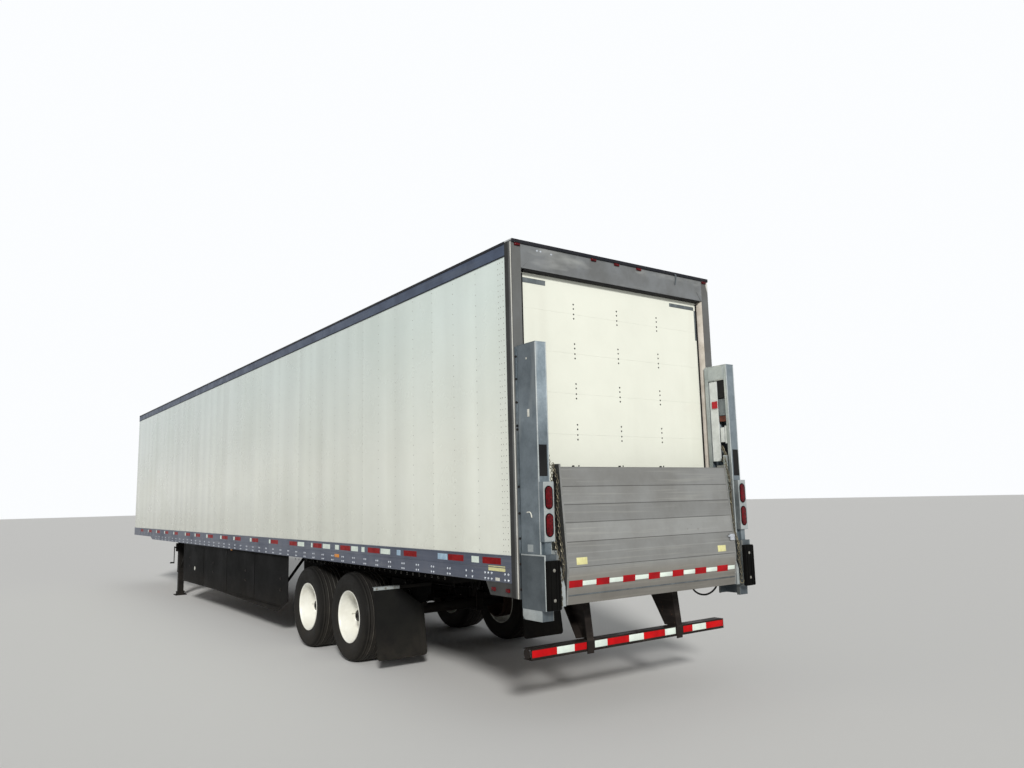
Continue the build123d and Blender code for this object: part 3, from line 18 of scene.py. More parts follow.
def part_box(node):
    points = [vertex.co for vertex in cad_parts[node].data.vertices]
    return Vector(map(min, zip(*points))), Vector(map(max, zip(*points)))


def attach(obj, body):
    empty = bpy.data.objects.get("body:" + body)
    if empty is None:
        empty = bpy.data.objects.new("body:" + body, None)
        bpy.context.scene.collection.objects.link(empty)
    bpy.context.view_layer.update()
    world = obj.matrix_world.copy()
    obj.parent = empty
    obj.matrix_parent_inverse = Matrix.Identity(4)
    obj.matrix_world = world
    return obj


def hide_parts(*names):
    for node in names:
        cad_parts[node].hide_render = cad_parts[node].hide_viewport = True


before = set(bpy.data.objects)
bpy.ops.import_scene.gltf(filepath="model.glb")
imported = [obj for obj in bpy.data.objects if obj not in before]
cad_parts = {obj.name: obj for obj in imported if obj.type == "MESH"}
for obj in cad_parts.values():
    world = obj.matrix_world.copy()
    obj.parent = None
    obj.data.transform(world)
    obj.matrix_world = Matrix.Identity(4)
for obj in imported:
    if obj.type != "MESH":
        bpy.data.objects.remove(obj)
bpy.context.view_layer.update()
log = logging.getLogger("semi_trailer")

Colour = tuple[int, int, int]
Object = bpy.types.Object
Point = Sequence[float]
Socket = bpy.types.NodeSocket
Span = tuple[float, float]
Test = Callable[[Vector, Vector], bool]
Value = Socket | float

REAR_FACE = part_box("rear_posts")[0].x
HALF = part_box("bottom_rails")[1].y
NOSE = 16.154
SIDES = (1.0, -1.0)
WAYS = {
    "+X": Vector((1, 0, 0)), "-X": Vector((-1, 0, 0)), "+Y": Vector((0, 1, 0)), "-Y": Vector((0, -1, 0)),
    "+Z": Vector((0, 0, 1))}
PLAIN = (1.0, 1.0, 1.0, 1.0)


def rear(x: float) -> float:
    """The frame's X of a place x metres ahead of the body's rear face."""
    return REAR_FACE + x


def at(x: float, y: float, z: float) -> Vector:
    """A point of the frame, x metres ahead of the body's rear face."""
    return Vector((rear(x), y, z))


def linear(colour: Colour) -> tuple[float, ...]:
    """A colour as seen on a screen, made linear."""
    return (*(((c / 255 + 0.055) / 1.055) ** 2.4 if c > 10 else c / 3295 for c in colour), 1.0)


def past(way: str, limit: float, along: str = "") -> Test:
    """A test for edges that lie past a limit.

    Args:
        way: the axis and the way past the limit, such as "+Y" or "-X".
        limit: the limit on that axis.
        along: the axis that the edges also run along, if any.

    Returns:
        The test, which takes an edge's middle and direction.
    """
    axis, sign = "XYZ".index(way[1]), 1.0 if way[0] == "+" else -1.0
    run = "XYZ".index(along) if along else axis
    return lambda middle, edge: sign * middle[axis] > sign * limit and (not along or abs(edge[run]) > 0.9)


class Bench:
    """Adds and shapes meshes with Blender's own operators, as by hand."""

    @staticmethod
    def hold(*objects: Object) -> None:
        """Selects the given objects alone and makes the first one active."""
        bpy.ops.object.select_all(action="DESELECT")
        for obj in objects:
            obj.select_set(True)
        if objects:
            bpy.context.view_layer.objects.active = objects[0]

    @staticmethod
    def name(name: str) -> Object:
        """Names the new primitive and applies its place.

        Args:
            name: the piece's name.

        Returns:
            The new object.
        """
        obj = bpy.context.object
        obj.name = obj.data.name = name
        bpy.ops.object.transform_apply(location=True, rotation=True, scale=True)
        return obj

    @staticmethod
    @contextmanager
    def edit(obj: Object) -> Iterator[bmesh.types.BMesh]:
        """Opens an object in edit mode with nothing selected.

        Args:
            obj: the object.

        Returns:
            The mesh that is edited.
        """
        Bench.hold(obj)
        bpy.ops.object.mode_set(mode="EDIT")
        bpy.ops.mesh.select_all(action="DESELECT")
        yield bmesh.from_edit_mesh(obj.data)
        bpy.ops.object.mode_set(mode="OBJECT")

    @staticmethod
    def bevel(obj: Object, width: float, segments: int = 2, test: Test = lambda middle, along: True) -> None:
        """Rounds off edges.

        Args:
            obj: the object.
            width: the bevel's width.
            segments: its steps.
            test: what an edge's middle and direction have to pass.
        """
        with Bench.edit(obj) as grid:
            bpy.ops.mesh.select_mode(type="EDGE")
            for edge in grid.edges:
                start, end = (v.co for v in edge.verts)
                edge.select_set(test((start + end) / 2, (end - start).normalized()))
            bmesh.update_edit_mesh(obj.data)
            bpy.ops.mesh.bevel(offset=width, segments=segments, affect="EDGES")
        Bench.smooth(obj)

    @staticmethod
    def recess(obj: Object, way: str, border: float, depth: float) -> None:
        """Insets the largest faces that look one way and pushes them in.

        Args:
            obj: the object.
            way: the way they look, such as "+Y".
            border: how wide a border is left.
            depth: how far they go in, or with a negative depth out.
        """
        normal = WAYS[way]
        with Bench.edit(obj) as grid:
            biggest = max(f.calc_area() for f in grid.faces if f.normal.dot(normal) > 0.99)
            for face in grid.faces:
                face.select_set(face.normal.dot(normal) > 0.99 and face.calc_area() > biggest * 0.9)
            bmesh.update_edit_mesh(obj.data)
            bpy.ops.mesh.inset(thickness=border, depth=-depth)

    @staticmethod
    def block(name: str, low: Point, high: Point, round_off: float = 0.0, inset: tuple = (),
              edges: tuple = ()) -> Object:
        """A block between two corners.

        Args:
            name: the piece's name.
            low: lowest corner.
            high: highest corner.
            round_off: width of the bevel on all edges, or 0 for none.
            inset: what recess() takes for the block's large face, if it has one.
            edges: what bevel() takes for some of the edges, if only they are rounded.

        Returns:
            The new object.
        """
        low, high = Vector(low), Vector(high)
        Bench.hold()
        bpy.ops.mesh.primitive_cube_add(size=1.0, location=(low + high) / 2)
        bpy.context.object.scale = high - low
        obj = Bench.name(name)
        if round_off or edges:
            Bench.bevel(obj, *(edges or (round_off,)))
        if inset:
            Bench.recess(obj, *inset)
        return obj

    @staticmethod
    def rod(
            name: str, start: Point, end: Point, radius: float, sides: int = 20,
            round_off: float = 0.0) -> Object:
        """A round bar between two points.

        Args:
            name: the piece's name.
            start: middle of one end.
            end: middle of the other end.
            radius: its radius.
            sides: how many sides stand for the round.
            round_off: width of the bevel on its rims, or 0 for none.

        Returns:
            The new object.
        """
        start, end = Vector(start), Vector(end)
        Bench.hold()
        turn = (end - start).to_track_quat("Z", "Y").to_euler()
        bpy.ops.mesh.primitive_cylinder_add(
            vertices=sides, radius=radius, depth=(end - start).length, location=(start + end) / 2,
            rotation=turn)
        obj = Bench.name(name)
        if round_off:
            along = (end - start).normalized()
            Bench.bevel(obj, round_off, 2, lambda middle, way: abs(way.dot(along)) < 0.5)
        Bench.smooth(obj)
        return obj

    @staticmethod
    def plate(name: str, points: Sequence[Point], thickness: Point, round_off: float = 0.0) -> Object:
        """A flat outline extruded into a plate.

        Args:
            name: the piece's name.
            points: the outline's corners in order.
            thickness: the way and distance it is extruded.
            round_off: width of the bevel on all edges, or 0 for none.

        Returns:
            The new object.
        """
        Bench.hold()
        bpy.ops.mesh.primitive_circle_add(vertices=len(points), fill_type="NGON")
        obj = Bench.name(name)
        for vertex, point in zip(obj.data.vertices, points):
            vertex.co = point
        with Bench.edit(obj):
            bpy.ops.mesh.select_all(action="SELECT")
            bpy.ops.mesh.extrude_region_move(TRANSFORM_OT_translate={"value": thickness})
            bpy.ops.mesh.select_all(action="SELECT")
            bpy.ops.mesh.normals_make_consistent(inside=False)
        if round_off:
            Bench.bevel(obj, round_off)
        return obj

    @staticmethod
    def lathe(name: str, profile: Sequence[Span], axis: str, centre: Point, steps: int = 48,
              closed: bool = False) -> Object:
        """A turned piece.

        Args:
            name: the piece's name.
            profile: (radius, distance along the axis) points.
            axis: "X", "Y" or "Z".
            centre: a point on the axis, from which the distances count.
            steps: how many steps the spin takes.
            closed: whether the profile's end joins its start.

        Returns:
            The new object.
        """
        along, out = WAYS["+" + axis], WAYS["+X" if axis == "Z" else "+Z"]
        centre = Vector(centre)
        Bench.hold()
        bpy.ops.mesh.primitive_circle_add(vertices=len(profile), fill_type="NOTHING")
        obj = Bench.name(name)
        for vertex, (radius, distance) in zip(obj.data.vertices, profile):
            vertex.co = centre + out * radius + along * distance
        with Bench.edit(obj) as grid:
            if not closed:
                grid.edges.ensure_lookup_table()
                last = [e for e in grid.edges if {v.index for v in e.verts} == {0, len(profile) - 1}]
                bmesh.ops.delete(grid, geom=last, context="EDGES_FACES")
                bmesh.update_edit_mesh(obj.data)
            bpy.ops.mesh.select_all(action="SELECT")
            bpy.ops.mesh.spin(steps=steps, angle=2 * math.pi, center=centre, axis=along)
            bpy.ops.mesh.select_all(action="SELECT")
            bpy.ops.mesh.remove_doubles(threshold=1e-5)
            bpy.ops.mesh.select_all(action="SELECT")
            bpy.ops.mesh.normals_make_consistent(inside=False)
        Bench.smooth(obj)
        return obj

    @staticmethod
    def line(name: str, points: Sequence[Point], radius: float, sides: int, steps: int) -> Object:
        """A round curve along a smooth line through its end points.

        Args:
            name: the piece's name.
            points: the line's points.
            radius: the curve's radius.
            sides: steps of its round.
            steps: steps from point to point.

        Returns:
            The new curve object.
        """
        line = bpy.data.curves.new(name, "CURVE")
        line.dimensions = "3D"
        line.bevel_depth = radius
        line.bevel_resolution = sides
        line.use_fill_caps = True
        spline = line.splines.new("NURBS")
        spline.points.add(len(points) - 1)
        for point, place in zip(spline.points, points):
            point.co = (*place, 1.0)
        spline.order_u = 3
        spline.use_endpoint_u = True
        spline.resolution_u = steps
        obj = bpy.data.objects.new(name, line)
        bpy.context.collection.objects.link(obj)
        return obj

    @staticmethod
    def pipe(name: str, route: Sequence[Point], radius: float, sides: int = 3) -> Object:
        """A bent round bar as a mesh.

        Args:
            name: the piece's name.
            route: its points, each x metres ahead of the rear face.
            radius: the bar's radius.
            sides: steps of its round.

        Returns:
            The new object.
        """
        Bench.hold(Bench.line(name, [at(*point) for point in route], radius, sides, 6))
        bpy.ops.object.convert(target="MESH")
        Bench.smooth(bpy.context.object)
        return bpy.context.object

    @staticmethod
    def copies(name: str, master: Object, places: Sequence[Matrix]) -> Object:
        """Copies one finished shape to many places, as one piece with its own mesh.

        Args:
            name: the piece's name.
            master: the shape, which is used up.
            places: the places.

        Returns:
            The new object.
        """
        mesh = bpy.data.meshes.new(name)
        gathered = bmesh.new()
        for place in places:
            part = master.data.copy()
            part.transform(place)
            gathered.from_mesh(part)
            bpy.data.meshes.remove(part)
        gathered.to_mesh(mesh)
        gathered.free()
        obj = bpy.data.objects.new(name, mesh)
        bpy.context.collection.objects.link(obj)
        bpy.data.objects.remove(master)
        Bench.smooth(obj)
        return obj

    @staticmethod
    def join(name: str, parts: Sequence[Object]) -> Object:
        """Joins finished shapes into one piece.

        Args:
            name: the piece's name.
            parts: the shapes.

        Returns:
            The joined object.
        """
        Bench.hold(*parts)
        bpy.ops.object.join()
        parts[0].name = parts[0].data.name = name
        return parts[0]

    @staticmethod
    def modify(obj: Object, kind: str, **values: object) -> Object:
        """Adds a modifier and applies it.

        Args:
            obj: the object.
            kind: the modifier's type.
            values: its settings.

        Returns:
            The same object.
        """
        Bench.hold(obj)
        modifier = obj.modifiers.new(kind, kind)
        for key, value in values.items():
            setattr(modifier, key, value)
        bpy.ops.object.modifier_apply(modifier=modifier.name)
        return obj

    @staticmethod
    def both_sides(obj: Object) -> Object:
        """Adds the mirror image on the other side of the trailer."""
        return Bench.modify(obj, "MIRROR", use_axis=(False, True, False), use_mirror_merge=False)

    @staticmethod
    def drill(obj: Object, tool: Object) -> None:
        """Cuts one closed shape out of another."""
        Bench.modify(obj, "BOOLEAN", object=tool, operation="DIFFERENCE", solver="EXACT")
        bpy.data.objects.remove(tool)

    @staticmethod
    def smooth(obj: Object, degrees: float = 35.0) -> None:
        """Smooth shading up to an angle."""
        Bench.hold(obj)
        bpy.ops.object.shade_smooth_by_angle(angle=math.radians(degrees))

    @staticmethod
    def dome(radius: float, height: float, sides: int) -> Object:
        """A rivet's head at the origin, standing out along +Y.

        Args:
            radius: the head's radius.
            height: how far it stands out.
            sides: how many sides stand for the round.

        Returns:
            The new object.
        """
        Bench.hold()
        turn = (-math.pi / 2, 0, 0)
        bpy.ops.mesh.primitive_uv_sphere_add(segments=sides, ring_count=6, radius=radius, rotation=turn)
        obj = Bench.name("head")
        with Bench.edit(obj):
            bpy.ops.mesh.select_all(action="SELECT")
            bpy.ops.mesh.bisect(plane_co=(0, 0.0002, 0), plane_no=(0, 1, 0), clear_inner=True)
        obj.data.transform(Matrix.Diagonal((1, height / radius, 1, 1)))
        return obj

    @staticmethod
    def bolt(radius: float, height: float) -> Object:
        """A hexagon bolt's head with its washer at the origin, standing out along +Y.

        Args:
            radius: the head's radius.
            height: how far it stands out.

        Returns:
            The new object.
        """
        washer = Bench.rod("bolt", (0, 0, 0), (0, height * 0.25, 0), radius * 1.35, 16)
        head = Bench.rod("bolt_head", (0, height * 0.25, 0), (0, height, 0), radius, 6)
        Bench.bevel(head, radius * 0.12, 1, past("+Y", height * 0.9))
        return Bench.join("bolt", [washer, head])


@dataclass
class Graph:
    """A node tree that short calls fill. Most of them give back an output socket."""

    tree: bpy.types.NodeTree

    def node(self, kind: str, inputs: dict | None = None, **settings: object) -> bpy.types.Node:
        """Adds a node.

        Args:
            kind: the node's type, without the ShaderNode before it.
            inputs: a value or a socket for each input's name or number.
            settings: the node's own settings.

        Returns:
            The new node.
        """
        made = self.tree.nodes.new("ShaderNode" + kind)
        for key, value in settings.items():
            setattr(made, key, value)
        for key, value in (inputs or {}).items():
            if isinstance(value, Socket):
                self.tree.links.new(value, made.inputs[key])
            else:
                made.inputs[key].default_value = value
        return made

    def ramp(self, value: Value, start: Value, end: Value, low: Value = 0.0, high: Value = 1.0) -> Socket:
        """Maps a value from start..end to low..high and stops at both ends."""
        inputs = {"Value": value, "From Min": start, "From Max": end, "To Min": low, "To Max": high}
        return self.node("MapRange", inputs, clamp=True).outputs[0]

    def blend(self, factor: Value, first: object, second: object) -> Socket:
        """Mixes two colours."""
        return self.node("Mix", {0: factor, 6: first, 7: second}, data_type="RGBA").outputs[2]

    def maths(self, operation: str, first: Value, second: Value = 0.0) -> Socket:
        """One operation on one or two values."""
        return self.node("Math", {0: first, 1: second}, operation=operation).outputs[0]

    def add(self, first: Value, second: Value) -> Socket:
        """The sum of two values."""
        return self.maths("ADD", first, second)

    def minus(self, first: Value, second: Value) -> Socket:
        """One value less another."""
        return self.maths("SUBTRACT", first, second)

    def times(self, first: Value, second: Value) -> Socket:
        """The product of two values."""
        return self.maths("MULTIPLY", first, second)

    def off(self, value: Value, place: Value) -> Socket:
        """How far a value is from a place, on either side of it."""
        return self.maths("ABSOLUTE", self.minus(value, place))

    def noise(self, vector: Socket, scale: Value, detail: float, roughness: float = 0.5) -> Socket:
        """Soft noise at a scale per metre."""
        inputs = {"Vector": vector, "Scale": scale, "Detail": detail, "Roughness": roughness}
        return self.node("TexNoise", inputs).outputs["Fac"]

    def chance(self, number: Value) -> Socket:
        """A random value that belongs to a whole number."""
        return self.node("TexWhiteNoise", {"W": number}, noise_dimensions="1D").outputs["Value"]

    def axes(self, vector: Socket) -> tuple[Socket, ...]:
        """The three parts of a vector."""
        return tuple(self.node("SeparateXYZ", {0: vector}).outputs)

    def tinted(self, colour: Socket, tint: object) -> Socket:
        """A colour or a vector multiplied by another."""
        return self.node("VectorMath", {0: colour, 1: tint}, operation="MULTIPLY").outputs[0]

    def scaled(self, colour: Socket, factor: Value) -> Socket:
        """A colour made lighter or darker."""
        return self.node("VectorMath", {0: colour, "Scale": factor}, operation="SCALE").outputs[0]


Given = dict[str, Socket]
Pair = tuple[Socket, Socket]


def patches(graph: Graph, given: Given) -> Pair:
    """Soft uneven patches of a second tone."""
    mask = graph.ramp(graph.noise(given["Vector"], given["Scale"], 5.0, 0.6), given["Low"], given["High"])
    return graph.blend(mask, given["Colour"], given["Tone"]), mask


def streaks(graph: Graph, given: Given) -> Pair:
    """Marks drawn out along one way, such as scratches, runs of dirt or brushed grain.

    Args:
        graph: the group's graph.
        given: its inputs by name.

    Returns:
        The marked colour and the marks' mask.
    """
    noise = graph.noise(graph.tinted(given["Vector"], given["Stretch"]), 1.0, 3.0, 0.55)
    mask = graph.ramp(noise, given["Start"], graph.add(given["Start"], 0.14), 0.0, given["Amount"])
    return graph.blend(mask, given["Colour"], given["Mark"]), mask


def spangle(graph: Graph, given: Given) -> Pair:
    """The crystals of a zinc coat, each a little lighter or darker.

    Args:
        graph: the group's graph.
        given: its inputs by name.

    Returns:
        The spangled colour and each crystal's random value.
    """
    cells = graph.node("TexVoronoi", {"Vector": given["Vector"], "Scale": given["Scale"]})
    value = graph.node("SeparateColor", {0: cells.outputs["Color"]}).outputs[0]
    low, high = graph.minus(1.0, given["Depth"]), graph.add(1.0, given["Depth"])
    return graph.scaled(given["Colour"], graph.ramp(value, 0.0, 1.0, low, high)), value


def road_dust(graph: Graph, given: Given) -> Pair:
    """Road dust, thick below one height and gone above another.

    Args:
        graph: the group's graph.
        given: its inputs by name.

    Returns:
        The dusty colour and the dust's mask.
    """
    fall = graph.ramp(graph.axes(given["Vector"])[2], given["Low"], given["High"], 1.0, 0.0)
    broken = graph.ramp(graph.noise(given["Vector"], 7.0, 7.0, 0.65), 0.32, 0.68, 0.25, 1.0)
    mask = graph.times(graph.times(fall, broken), given["Amount"])
    return graph.blend(mask, given["Colour"], given["Dust"]), mask


def wear(graph: Graph, given: Given) -> Pair:
    """Paint rubbed through in small chips where noise is strongest.

    Args:
        graph: the group's graph.
        given: its inputs by name.

    Returns:
        The chipped colour and the chips' mask.
    """
    noise = graph.noise(given["Vector"], given["Scale"], 9.0, 0.72)
    start = graph.minus(0.72, graph.times(given["Amount"], 0.12))
    mask = graph.ramp(noise, start, graph.add(start, 0.03))
    return graph.blend(mask, given["Colour"], given["Bare"]), mask


class Effect(Enum):
    """Surface effects that several finishes share. Each is one node group with named sockets."""

    PATCHES = "uneven_patches"
    STREAKS = "drawn_out_streaks"
    SPANGLE = "zinc_spangle"
    DUST = "road_dust"
    WEAR = "worn_edges"

    def build(self, inputs: Sequence[str]) -> bpy.types.NodeTree:
        """Builds the effect's node group.

        Args:
            inputs: the names of its inputs. Those that aren't in KINDS are plain numbers.

        Returns:
            The group, which puts out a colour and a mask.
        """
        tree = bpy.data.node_groups.new(self.value, "ShaderNodeTree")
        for key in inputs:
            tree.interface.new_socket(key, in_out="INPUT", socket_type="NodeSocket" + KINDS.get(key, "Float"))
        for key, kind in (("Colour", "Color"), ("Mask", "Float")):
            tree.interface.new_socket(key, in_out="OUTPUT", socket_type="NodeSocket" + kind)
        given = {socket.name: socket for socket in tree.nodes.new("NodeGroupInput").outputs}
        out = tree.nodes.new("NodeGroupOutput")
        for socket, value in zip(out.inputs, BUILDERS[self](Graph(tree), given)):
            tree.links.new(value, socket)
        return tree

    def place(self, graph: Graph, **inputs: object) -> Pair:
        """Puts the effect into a material with its own values.

        Args:
            graph: the material's graph.
            inputs: a value or a socket for each input.

        Returns:
            The effect's colour and mask.
        """
        named = {key.capitalize(): value for key, value in inputs.items()}
        group = bpy.data.node_groups.get(self.value) or self.build(list(named))
        made = graph.node("Group", named, node_tree=group)
        return made.outputs["Colour"], made.outputs["Mask"]


KINDS = {
    "Vector": "Vector", "Stretch": "Vector",
    **dict.fromkeys(("Colour", "Tone", "Mark", "Dust", "Bare"), "Color")}
BUILDERS: dict[Effect, Callable[[Graph, Given], Pair]] = {
    Effect.PATCHES: patches, Effect.STREAKS: streaks, Effect.SPANGLE: spangle, Effect.DUST: road_dust,
    Effect.WEAR: wear}
DUST = (150, 138, 122)


@dataclass(frozen=True)
class Finish:
    """A surface as it is on the real one: its two tones, its gloss, grain, dust, streaks and wear.

    Sizes of patterns are given as noise scales per metre, and stretch says how often a streak's noise
    repeats along each axis. Colours are as seen on a screen.
    """

    name: str
    colour: Colour
    tone: Colour
    rough: Span = (0.45, 0.6)
    metallic: float = 0.0
    coat: float = 0.0
    specular: float = 0.5
    patch: float = 2.0
    grain: float = 90.0
    grain_depth: float = 0.0004
    spangle: float = 0.0
    spangle_depth: float = 0.16
    stretch: tuple[float, float, float] | None = None
    mark: Colour = DUST
    mark_start: float = 0.52
    mark_amount: float = 0.3
    dust: float = 0.0
    dust_low: float = 0.4
    dust_high: float = 2.0
    wear: float = 0.0
    bare: Colour = (168, 168, 164)

    def material(self) -> bpy.types.Material:
        """The finish as a material, built the first time it is wanted.

        Returns:
            The material.
        """
        known = bpy.data.materials.get(self.name)
        if known:
            return known
        made = bpy.data.materials.new(self.name)
        made.use_nodes = True
        made.node_tree.nodes.clear()
        graph = Graph(made.node_tree)
        vector = graph.node("TexCoord").outputs["Object"]
        colour, mask = self.colours(graph, vector)
        height = self.height(graph, vector)
        bump = graph.node("Bump", {"Height": height, "Distance": self.grain_depth, "Strength": 1.0})
        shader = graph.node(
            "BsdfPrincipled",
            {
                "Base Color": colour, "Roughness": graph.ramp(mask, 0.0, 1.0, *self.rough),
                "Metallic": self.metallic, "Coat Weight": self.coat, "Coat Roughness": 0.12,
                "Specular IOR Level": self.specular, "Normal": bump.outputs[0]})
        graph.node("OutputMaterial", {0: shader.outputs[0]})
        return made

    def colours(self, graph: Graph, vector: Socket) -> Pair:
        """The colour with all that lies on it.

        Args:
            graph: the material's graph.
            vector: the place on the object.

        Returns:
            The colour, and the mask that drives the roughness.
        """
        colour, mask = Effect.PATCHES.place(
            graph, vector=vector, colour=linear(self.colour), tone=linear(self.tone), scale=self.patch,
            low=0.38, high=0.64)
        if self.spangle:
            colour, mask = Effect.SPANGLE.place(
                graph, vector=vector, colour=colour, scale=self.spangle, depth=self.spangle_depth)
        if self.stretch:
            colour, _ = Effect.STREAKS.place(
                graph, vector=vector, colour=colour, mark=linear(self.mark), stretch=self.stretch,
                start=self.mark_start, amount=self.mark_amount)
        if self.wear:
            colour, _ = Effect.WEAR.place(
                graph, vector=vector, colour=colour, bare=linear(self.bare), scale=14.0, amount=self.wear)
        if self.dust:
            colour, dirt = Effect.DUST.place(
                graph, vector=vector, colour=colour, dust=linear(DUST), low=self.dust_low,
                high=self.dust_high, amount=self.dust)
            mask = graph.maths("MAXIMUM", mask, dirt)
        return colour, mask

    def height(self, graph: Graph, vector: Socket) -> Socket:
        """The fine grain of the surface."""
        return graph.noise(vector, self.grain, 4.0, 0.6)


@dataclass(frozen=True)
class SheetPaint(Finish):
    """Painted body sheet: every bay between two posts reflects a little differently, as painted reflection.
    """

    pitch: float = 0.4064
    first: float = 0.19
    cool: tuple[float, ...] = (0.9, 0.98, 1.03, 1.0)

    def colours(self, graph: Graph, vector: Socket) -> Pair:
        """The painted colour, cooler towards the roof, with painted reflection lighter in a wavy band and
        from bay to bay.

        Args:
            graph: the material's graph.
            vector: the place on the object.

        Returns:
            The colour and the roughness's mask.
        """
        colour, mask = super().colours(graph, vector)
        x, _, z = graph.axes(vector)
        colour = graph.tinted(colour, graph.blend(graph.ramp(z, 2.3, 3.7), PLAIN, self.cool))
        # painted reflection: a lighter wavy band at mid height, from about 2.5 m forward
        level = graph.add(z, graph.noise(vector, 0.9, 2.0))
        band = graph.times(graph.ramp(level, 2.35, 2.6), graph.ramp(level, 2.85, 3.3, 1.0, 0.0))
        band = graph.times(band, graph.ramp(x, rear(2.5), rear(6.0), 0.0, 0.05))
        # painted light: lighter near the rear, darker from 3.5 m on, darkest round 11 m
        forward = graph.ramp(graph.off(x, rear(11.0)), 0.5, 3.5, -0.045, 0.0)
        painted_light_slope = graph.add(graph.ramp(x, rear(1.0), rear(3.5), 0.13, -0.05), forward)
        # painted reflection: each bay between two posts is lighter round its own random place
        bay = graph.maths("DIVIDE", graph.minus(x, rear(self.first)), self.pitch)
        whole = graph.maths("FLOOR", bay)
        near = graph.off(graph.minus(bay, whole), graph.chance(whole))
        lift = graph.add(graph.add(graph.ramp(near, 0.0, 0.55, 1.035, 0.96), band), painted_light_slope)
        return graph.scaled(colour, lift), mask


@dataclass(frozen=True)
class TapeSheet(Finish):
    """Reflecting tape with its fine cells."""

    def height(self, graph: Graph, vector: Socket) -> Socket:
        """The edges of the tape's cells."""
        inputs = {"Vector": vector, "Scale": self.grain}
        cells = graph.node("TexVoronoi", inputs, feature="DISTANCE_TO_EDGE")
        return graph.ramp(cells.outputs["Distance"], 0.0, 0.12)


@dataclass(frozen=True)
class LampLens(Finish):
    """Moulded lens with upright ribs across it."""

    def height(self, graph: Graph, vector: Socket) -> Socket:
        """The ribs moulded in the lens."""
        _, y, z = graph.axes(vector)
        return graph.add(*(graph.maths("SINE", graph.times(way, self.grain)) for way in (z, y)))


@dataclass(frozen=True)
class FramePaint(Finish):
    """Paint of the rear frame, with painted shade that makes its outer sides darker than the rear."""

    side_y: float = 1.2945
    side_shade: float = 0.22
    edge_shade: float = 0.85
    edge_x: float = 0.045
    box_shade: float = 0.4
    box_x: float = 0.108

    def colours(self, graph: Graph, vector: Socket) -> Pair:
        """The weathered colour, with painted shade on the outer sides.

        Args:
            graph: the material's graph.
            vector: the place on the object.

        Returns:
            The colour and the roughness's mask.
        """
        colour, mask = super().colours(graph, vector)
        x, y, _ = graph.axes(vector)
        # painted shade on the outer side faces: light just behind the rear edge, darkest further in, less
        # dark on the corner box
        box = graph.ramp(x, rear(self.box_x), rear(self.box_x + 0.004), self.side_shade, self.box_shade)
        shade = graph.ramp(x, rear(self.edge_x), rear(self.edge_x + 0.012), self.edge_shade, box)
        side = graph.ramp(graph.maths("ABSOLUTE", y), self.side_y - 0.001, self.side_y, 1.0, shade)
        return graph.scaled(colour, side), mask


@dataclass(frozen=True)
class ColumnZinc(Finish):
    """Zinc of the lift's columns: cloudy, painted shade on the outer sides, darker on the covers at their
    feet.
    """

    side_y: float = 1.2795
    inner_y: float = 1.1715
    cover_z: float = 1.377
    warm: tuple[float, ...] = (1.75, 1.58, 1.42, 1.0)

    def colours(self, graph: Graph, vector: Socket) -> Pair:
        """The zinc colour with painted light and shade on each face.

        Args:
            graph: the material's graph.
            vector: the place on the object.

        Returns:
            The colour and the roughness's mask.
        """
        colour, mask = super().colours(graph, vector)
        _, y, z = graph.axes(vector)
        out = graph.maths("ABSOLUTE", y)
        # painted shade: the outer sides darker, darkest high up
        side = graph.ramp(out, self.side_y, self.side_y + 0.001, 1.0, graph.ramp(z, 2.35, 2.75, 0.86, 0.4))
        foot = graph.ramp(z, self.cover_z, self.cover_z + 0.002, 0.54, 1.0)
        # painted light: lighter high up, most on the left column
        high = graph.times(graph.ramp(y, 0.0, 0.1, 0.25, 1.0), graph.ramp(z, 2.35, 2.75, 0.0, 0.75))
        # painted sunlight: the inner faces lighter and warmer
        inner = graph.ramp(out, self.inner_y, self.inner_y + 0.001)
        colour = graph.tinted(colour, graph.blend(inner, self.warm, PLAIN))
        return graph.scaled(colour, graph.times(side, graph.times(graph.add(high, 1.0), foot))), mask


@dataclass(frozen=True)
class PlankMetal(Finish):
    """Brushed planks, each in its own tone, with dark joints between them, a grimy heel and a painted
    highlight on the bend.

    The steps are each joint's height and the factor of the tone from there upwards.
    """

    steps: tuple[Span, ...] = ((1.261, 0.92), (1.467, 1.09), (1.624, 0.8), (1.772, 1.25), (1.923, 0.86))
    joint_half: float = 0.0022
    bend_z: float = 1.373
    grime: tuple[float, ...] = (1.0, 0.95, 0.89, 1.0)

    def colours(self, graph: Graph, vector: Socket) -> Pair:
        """The brushed colour with the planks' tones, joints and painted highlight.

        Args:
            graph: the material's graph.
            vector: the place on the object.

        Returns:
            The colour and the roughness's mask.
        """
        colour, mask = super().colours(graph, vector)
        z = graph.axes(vector)[2]
        number, line, heel = 0.0, 0.0, graph.ramp(z, 1.02, 1.24, 0.7, 0.97)
        for joint, factor in self.steps:
            number = graph.add(graph.maths("GREATER_THAN", z, joint), number)
            dark = graph.ramp(graph.off(z, joint), self.joint_half, self.joint_half * 2, 0.55, 0.0)
            line = graph.maths("MAXIMUM", dark, line)
            heel = graph.times(graph.ramp(z, joint - 0.001, joint + 0.001, 1.0, factor), heel)
        # painted highlight: a lighter line along the platform's bend
        heel = graph.add(heel, graph.ramp(graph.off(z, self.bend_z), 0.003, 0.006, 0.22, 0.0))
        colour = graph.tinted(colour, graph.blend(graph.ramp(z, 1.18, 1.25), self.grime, PLAIN))
        plank = graph.minus(graph.ramp(graph.chance(number), 0.0, 1.0, 0.93, 1.08), line)
        return graph.scaled(colour, graph.times(plank, heel)), mask


